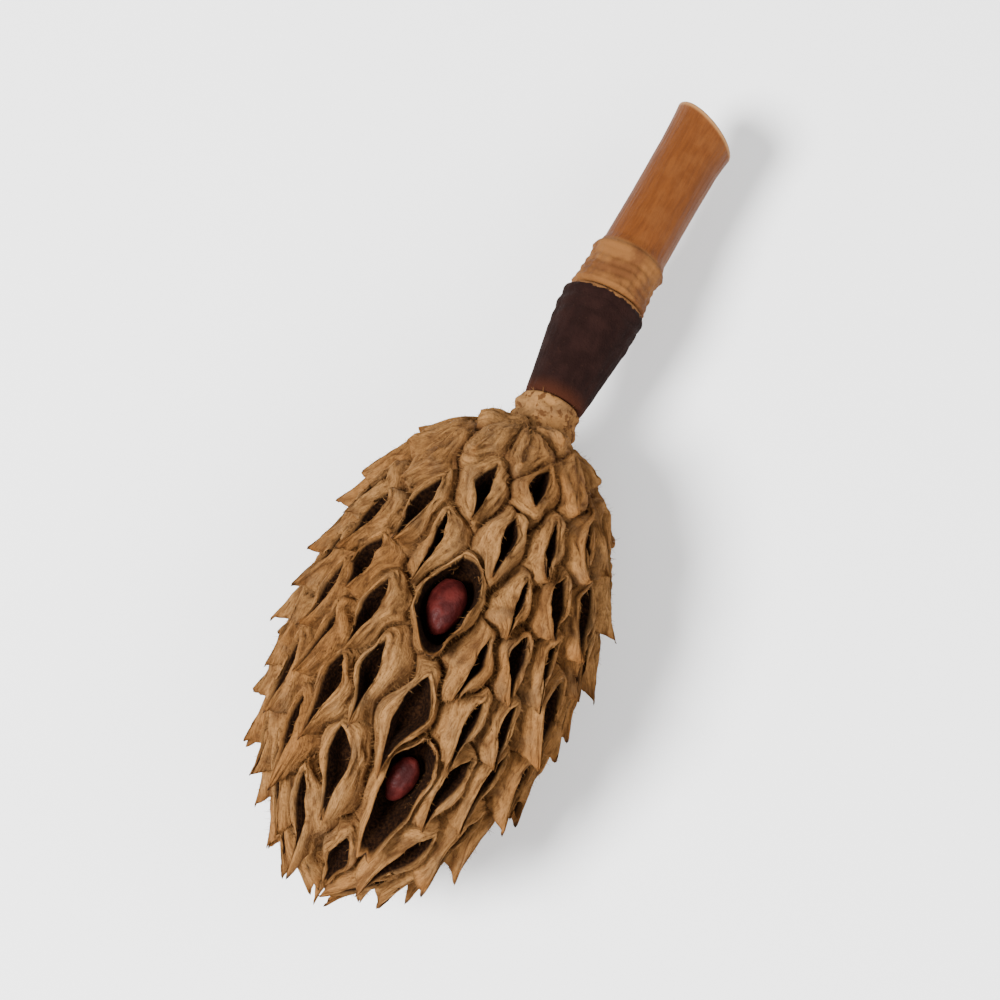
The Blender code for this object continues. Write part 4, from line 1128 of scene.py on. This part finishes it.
def twig_place():
    end = stalk_place() @ Vector((0, 0, STALK_LENGTH + GAP))
    turn = (laid_down() @ away_from_head(TWIG_BEND)).to_3x3().to_4x4()
    return Matrix.Translation(end) @ turn


def stalk():
    """The dark felted stalk: velvet over shallow folds, with faint rings of old scars near the twig."""
    profile = [
        (0.0, ON_AXIS),
        (0.0, 0.90 * STALK_HEAD_RADIUS),
        (0.0003, 0.97 * STALK_HEAD_RADIUS),
        (0.04 * STALK_LENGTH, 1.0 * STALK_HEAD_RADIUS),
        (0.15 * STALK_LENGTH, 0.76 * STALK_RADIUS),
        (0.40 * STALK_LENGTH, 0.85 * STALK_RADIUS),
        (0.72 * STALK_LENGTH, 0.97 * STALK_RADIUS),
        (0.94 * STALK_LENGTH, STALK_RADIUS),
        (0.985 * STALK_LENGTH, 0.97 * STALK_RADIUS),
        (STALK_LENGTH, 0.91 * STALK_RADIUS),
        (STALK_LENGTH, ON_AXIS),
    ]

    def shape(height, turn):
        inside = SMOOTH_ENDS[0] < height < STALK_LENGTH - SMOOTH_ENDS[1]
        near_twig = min(1.0, max(0.0, (height / STALK_LENGTH - SCARS_FROM) / SCARS_FADE))
        scars = rings(height, turn, *STALK_SCARS) * near_twig
        return (relief(height, turn, STALK_FOLDS) + scars) * inside

    obj = turned("stalk_velvet", profile, *STALK_MESH, shape, stalk_place())
    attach(obj, "root")
    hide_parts("stalk")
    obj.data.materials.append(velvet_material())


def twig():
    """The cut twig: its ringed node, its smooth bark and the slanting cut across wood and pith."""
    tan_slant = math.tan(math.radians(CUT_SLANT))
    rim = 1.08 * TWIG_RADIUS
    profile = [
        (0.0, ON_AXIS),
        (0.0, 0.96 * NODE_RADIUS),
        (0.0003, 1.03 * NODE_RADIUS),
        (0.08 * NODE_LENGTH, 1.08 * NODE_RADIUS),
        (0.22 * NODE_LENGTH, 1.02 * NODE_RADIUS),
        (0.45 * NODE_LENGTH, 0.99 * NODE_RADIUS),
        (0.70 * NODE_LENGTH, 0.97 * NODE_RADIUS),
        (0.80 * NODE_LENGTH, 1.01 * NODE_RADIUS),
        (0.88 * NODE_LENGTH, 1.05 * NODE_RADIUS),
        (0.95 * NODE_LENGTH, 1.02 * NODE_RADIUS),
        (NODE_LENGTH, 0.96 * NODE_RADIUS),
        (NODE_LENGTH + 0.0012, 1.00 * TWIG_RADIUS),
        (0.55 * TWIG_LENGTH, 0.98 * TWIG_RADIUS),
        (TWIG_LENGTH - 0.0045, 1.00 * TWIG_RADIUS),
        (TWIG_LENGTH - 0.0010, 1.055 * TWIG_RADIUS),
        (TWIG_LENGTH - 0.0002, rim),
        (TWIG_LENGTH, 0.97 * rim),
        (TWIG_LENGTH - 0.00012, 0.90 * rim),
        (TWIG_LENGTH, 0.80 * rim),
        (TWIG_LENGTH, 0.26 * rim),
        (TWIG_LENGTH - 0.0004, 0.20 * rim),
        (TWIG_LENGTH - 0.0005, ON_AXIS),
    ]

    def shape(height, turn):
        end, fade = NODE_RELIEF
        node = max(0.0, 1 - height / (end * NODE_LENGTH))
        bumps = rings(height, turn, *NODE_RINGS) + relief(height, turn, NODE_KNOBS)
        out = relief(height, turn, BARK_GRAIN) + min(1.0, fade * node) * bumps
        return FACE_RELIEF * out if height >= TWIG_LENGTH - CUT_DEPTH else out

    obj = turned("twig_bark", profile, *TWIG_MESH, shape, Matrix())
    points = get_points(obj)
    heights, radii = points[:, 2].copy(), np.hypot(points[:, 0], points[:, 1])
    near_end = smooth_step(TWIG_LENGTH - CUT_FROM, TWIG_LENGTH - CUT_DEPTH, heights)
    points[:, 2] += near_end * points[:, 0] * tan_slant
    set_points(obj, moved(points, twig_place()))
    on_face = (heights > TWIG_LENGTH - CUT_DEPTH) & (radii < FACE_SHARE * rim)
    paint(obj, "face", np.stack([on_face, radii / rim, heights / TWIG_LENGTH], axis=1))
    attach(obj, "root")
    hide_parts("twig")
    obj.data.materials.append(bark_material())


def seeds(skin):
    """The seeds: egg-shaped, a little flattened, with a shallow lengthwise crease and wrinkled skin."""
    lay = laid_down()
    material = seed_material()
    for number, follicle in enumerate(skin.gaping, start=1):
        bm = bmesh.new()
        bmesh.ops.create_uvsphere(bm, u_segments=SEED_MESH[0], v_segments=SEED_MESH[1], radius=0.5)
        offset = Vector((0, SEEDS_APART * number, 0))
        for vert in bm.verts:
            direction = vert.co.normalized()
            lengthwise = Vector([at * waves for at, waves in zip(direction, SEED_WRINKLES[1])])
            wrinkle = SEED_LUMPS[0] * noise.noise(direction * SEED_LUMPS[1] + offset)
            wrinkle -= SEED_WRINKLES[0] * max(0.0, WRINKLE_EDGE - abs(noise.noise(lengthwise + offset)))
            middle = math.exp(-((direction.y / SEED_CREASE[1]) ** 2))
            crease = SEED_CREASE[0] * middle * max(0.0, direction.x) ** 0.5
            vert.co *= 1 + wrinkle - crease
            vert.co.y *= 1 - SEED_TAPER * direction.z
        bmesh.ops.scale(bm, vec=follicle.seed_size(), verts=bm.verts)
        bmesh.ops.transform(bm, matrix=lay @ follicle.seat(SEED_PLACES[number - 1][2]), verts=bm.verts)
        obj = mesh_object(f"seed_{number}_skin", [], [])
        bm.to_mesh(obj.data)
        bm.free()
        obj.data.shade_smooth()
        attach(obj, "root")
        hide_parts(f"seed_{number}")
        obj.data.materials.append(material)


# Materials


class Nodes:
    """Short calls for one material's nodes."""

    def __init__(self, name, roughness, specular=0.5):
        self.material = bpy.data.materials.new(name)
        self.material.use_nodes = True
        self.tree = self.material.node_tree
        self.shader = self.tree.nodes["Principled BSDF"]
        self.plug(self.shader, {"Metallic": 0.0, "Roughness": roughness, "Specular IOR Level": specular})
        self.places = {"point": self.add("ShaderNodeTexCoord").outputs["Object"]}
        self.values = {}

    def plug(self, node, values):
        """Links or sets the node's inputs."""
        for name, value in values.items():
            if isinstance(value, bpy.types.NodeSocket):
                self.tree.links.new(value, node.inputs[name])
            else:
                node.inputs[name].default_value = value

    def add(self, kind, settings=(), **values):
        node = self.tree.nodes.new(kind)
        for name, value in dict(settings).items():
            setattr(node, name, value)
        self.plug(node, values)
        return node

    def noises(self, textures):
        """Adds these textures to the values that colours and bumps follow."""
        for name, (place, scale, detail, *roughness) in textures.items():
            node = self.add("ShaderNodeTexNoise", Vector=self.places[place], Scale=scale, Detail=detail)
            self.plug(node, {"Roughness": roughness[0] if roughness else NOISE_ROUGHNESS})
            self.values[name] = node.outputs["Fac"]

    def painted(self, name, parts, alpha=None):
        """Adds what was painted on the points to the places, and its parts and alpha to the values."""
        node = self.add("ShaderNodeAttribute", {"attribute_name": name, "attribute_type": "GEOMETRY"})
        self.places[name] = node.outputs["Vector"]
        split = self.add("ShaderNodeSeparateColor", Color=node.outputs["Color"]).outputs
        self.values.update(zip(parts, split))
        if alpha:
            self.values[alpha] = node.outputs["Alpha"]

    def ramp(self, value, low, high):
        """0 at low, 1 at high, smooth between."""
        node = self.add("ShaderNodeMapRange", {"interpolation_type": "SMOOTHSTEP"}, Value=value)
        self.plug(node, {"From Min": low, "From Max": high})
        return node.outputs["Result"]

    def math(self, operation, *values):
        node = self.add("ShaderNodeMath", {"operation": operation})
        self.plug(node, dict(enumerate(values)))
        return node.outputs[0]

    def mix(self, share, first, second):
        node = self.add("ShaderNodeMix", {"data_type": "RGBA"})
        colours = [c if isinstance(c, bpy.types.NodeSocket) else (*c, 1.0) for c in (first, second)]
        self.plug(node, {0: share, 6: colours[0], 7: colours[1]})
        return node.outputs[2]

    def layered(self, colour, layers):
        """The colour with these layers over it."""
        for name, start, full, most, over in layers:
            share = self.math("MULTIPLY", self.ramp(self.values[name], start, full), most)
            colour = self.mix(share, colour, over)
        return colour

    def finish(self, colour, bumps):
        """Gives the shader its colour and its bumps, one on top of the other."""
        below = {}
        for name, height, strength in bumps:
            node = self.add("ShaderNodeBump", Height=self.values[name], Distance=height, Strength=strength)
            self.plug(node, below)
            below = {"Normal": node.outputs["Normal"]}
        self.plug(self.shader, {"Base Color": colour, **below})
        return self.material


def felt_material():
    """Dry tan felt, painted shade brown in grooves and near black in slits, dark at the beaks' ends."""
    n = Nodes("dry felt", MATT, SPECULAR["felt"])
    n.painted("form", ("depth", "tip", "groove"), "tint")
    n.painted("grain", ())
    n.noises(FELT_TEXTURES)
    colour = n.layered(TAN, FELT_LAYERS)
    pits = n.math("MULTIPLY", n.ramp(n.values["depth"], *COLLAR_DEPTH), n.ramp(n.values["pits"], *PITS))
    return n.finish(n.mix(pits, colour, BROWN), FELT_BUMPS)


def velvet_material():
    """Dark purple-brown velvet, redder beside the head, with worn threads and a torn pale edge."""
    n = Nodes("dark velvet", MATT, SPECULAR["velvet"])
    n.plug(n.shader, {"Sheen Weight": SHEEN[0], "Sheen Roughness": SHEEN[1]})
    n.plug(n.shader, {"Sheen Tint": (*VELVET_SHEEN, 1.0)})
    n.painted("local", ("x", "y", "height"))
    n.noises(VELVET_TEXTURES)
    n.values["share"] = n.math("DIVIDE", n.values["height"], STALK_LENGTH * CENTIMETRES)
    torn = n.math("MULTIPLY", n.values["torn"], TORN_DEPTH)
    n.values["edge"] = n.math("ADD", n.values["share"], torn)
    return n.finish(n.layered(VELVET, VELVET_LAYERS), VELVET_BUMPS)


def bark_material():
    """Smooth orange-brown bark, tan at the node, and on the cut pale wood round a darker pith."""
    n = Nodes("orange bark", BARK_ROUGHNESS, SPECULAR["bark"])
    n.painted("local", ())
    n.painted("face", ("face", "radius", "height"))
    stretched = n.add("ShaderNodeMapping", Vector=n.places["local"], Scale=BARK_STRETCH)
    n.places["lengthwise"] = stretched.outputs["Vector"]
    n.noises(BARK_TEXTURES)
    n.values["rings"] = n.math("SINE", n.math("MULTIPLY", n.values["radius"], WOOD_RINGS))
    node = n.ramp(n.values["height"], *NODE_END)
    colour = n.mix(node, n.layered(BARK, BARK_LAYERS), n.layered(NODE_TAN, NODE_LAYERS))
    colour = n.layered(colour, RIM_LAYERS)
    colour = n.mix(n.ramp(n.values["face"], *FACE_EDGE), colour, n.layered(WOOD, WOOD_LAYERS))
    n.plug(n.shader, {"Roughness": n.math("MULTIPLY_ADD", node, NODE_ROUGHNESS, BARK_ROUGHNESS)})
    return n.finish(colour, BARK_BUMPS)


def seed_material():
    """Dried maroon skin with a soft gloss."""
    n = Nodes("maroon seed", SEED_ROUGHNESS, SPECULAR["seed"])
    n.noises(SEED_TEXTURES)
    return n.finish(n.layered(MAROON, SEED_LAYERS), SEED_BUMPS)


# Stage


def floor():
    points = [(-FLOOR, -FLOOR, 0), (FLOOR, -FLOOR, 0), (FLOOR, FLOOR, 0), (-FLOOR, FLOOR, 0)]
    obj = mesh_object("floor", points, [(0, 1, 2, 3)])
    n = Nodes("white floor", FLOOR_ROUGHNESS)
    n.plug(n.shader, {"Base Color": (*FLOOR_GREY, 1.0)})
    obj.data.materials.append(n.material)


def aimed(name, data, azimuth, elevation, distance):
    """A lamp or camera that looks at the pod from this direction."""
    obj = bpy.data.objects.new(name, data)
    bpy.context.scene.collection.objects.link(obj)
    a, e = math.radians(azimuth), math.radians(elevation)
    away = Vector((math.sin(a) * math.cos(e), -math.cos(a) * math.cos(e), math.sin(e)))
    obj.location = Vector(TARGET) + away * distance
    obj.rotation_euler = (-away).to_track_quat("-Z", "Y").to_euler()
    return obj


def light(name, azimuth, elevation, distance, size, power):
    """A round soft light."""
    data = bpy.data.lights.new(name, "AREA")
    data.shape, data.size, data.energy = "DISK", size, power
    aimed(name, data, azimuth, elevation, distance)


def camera():
    data = bpy.data.cameras.new("camera")
    data.lens, data.sensor_width, data.clip_start = LENS, SENSOR, NEAREST_SEEN
    bpy.context.scene.camera = aimed("camera", data, *VIEW, VIEW_DISTANCE)


def world():
    made = bpy.data.worlds.new("studio")
    made.use_nodes = True
    background = made.node_tree.nodes["Background"]
    background.inputs["Color"].default_value = (*WHITE, 1.0)
    background.inputs["Strength"].default_value = AMBIENT
    bpy.context.scene.world = made


def main():
    skin = head()
    stalk()
    twig()
    seeds(skin)
    floor()
    for numbers in LIGHTS:
        light(*numbers)
    world()
    camera()


main()
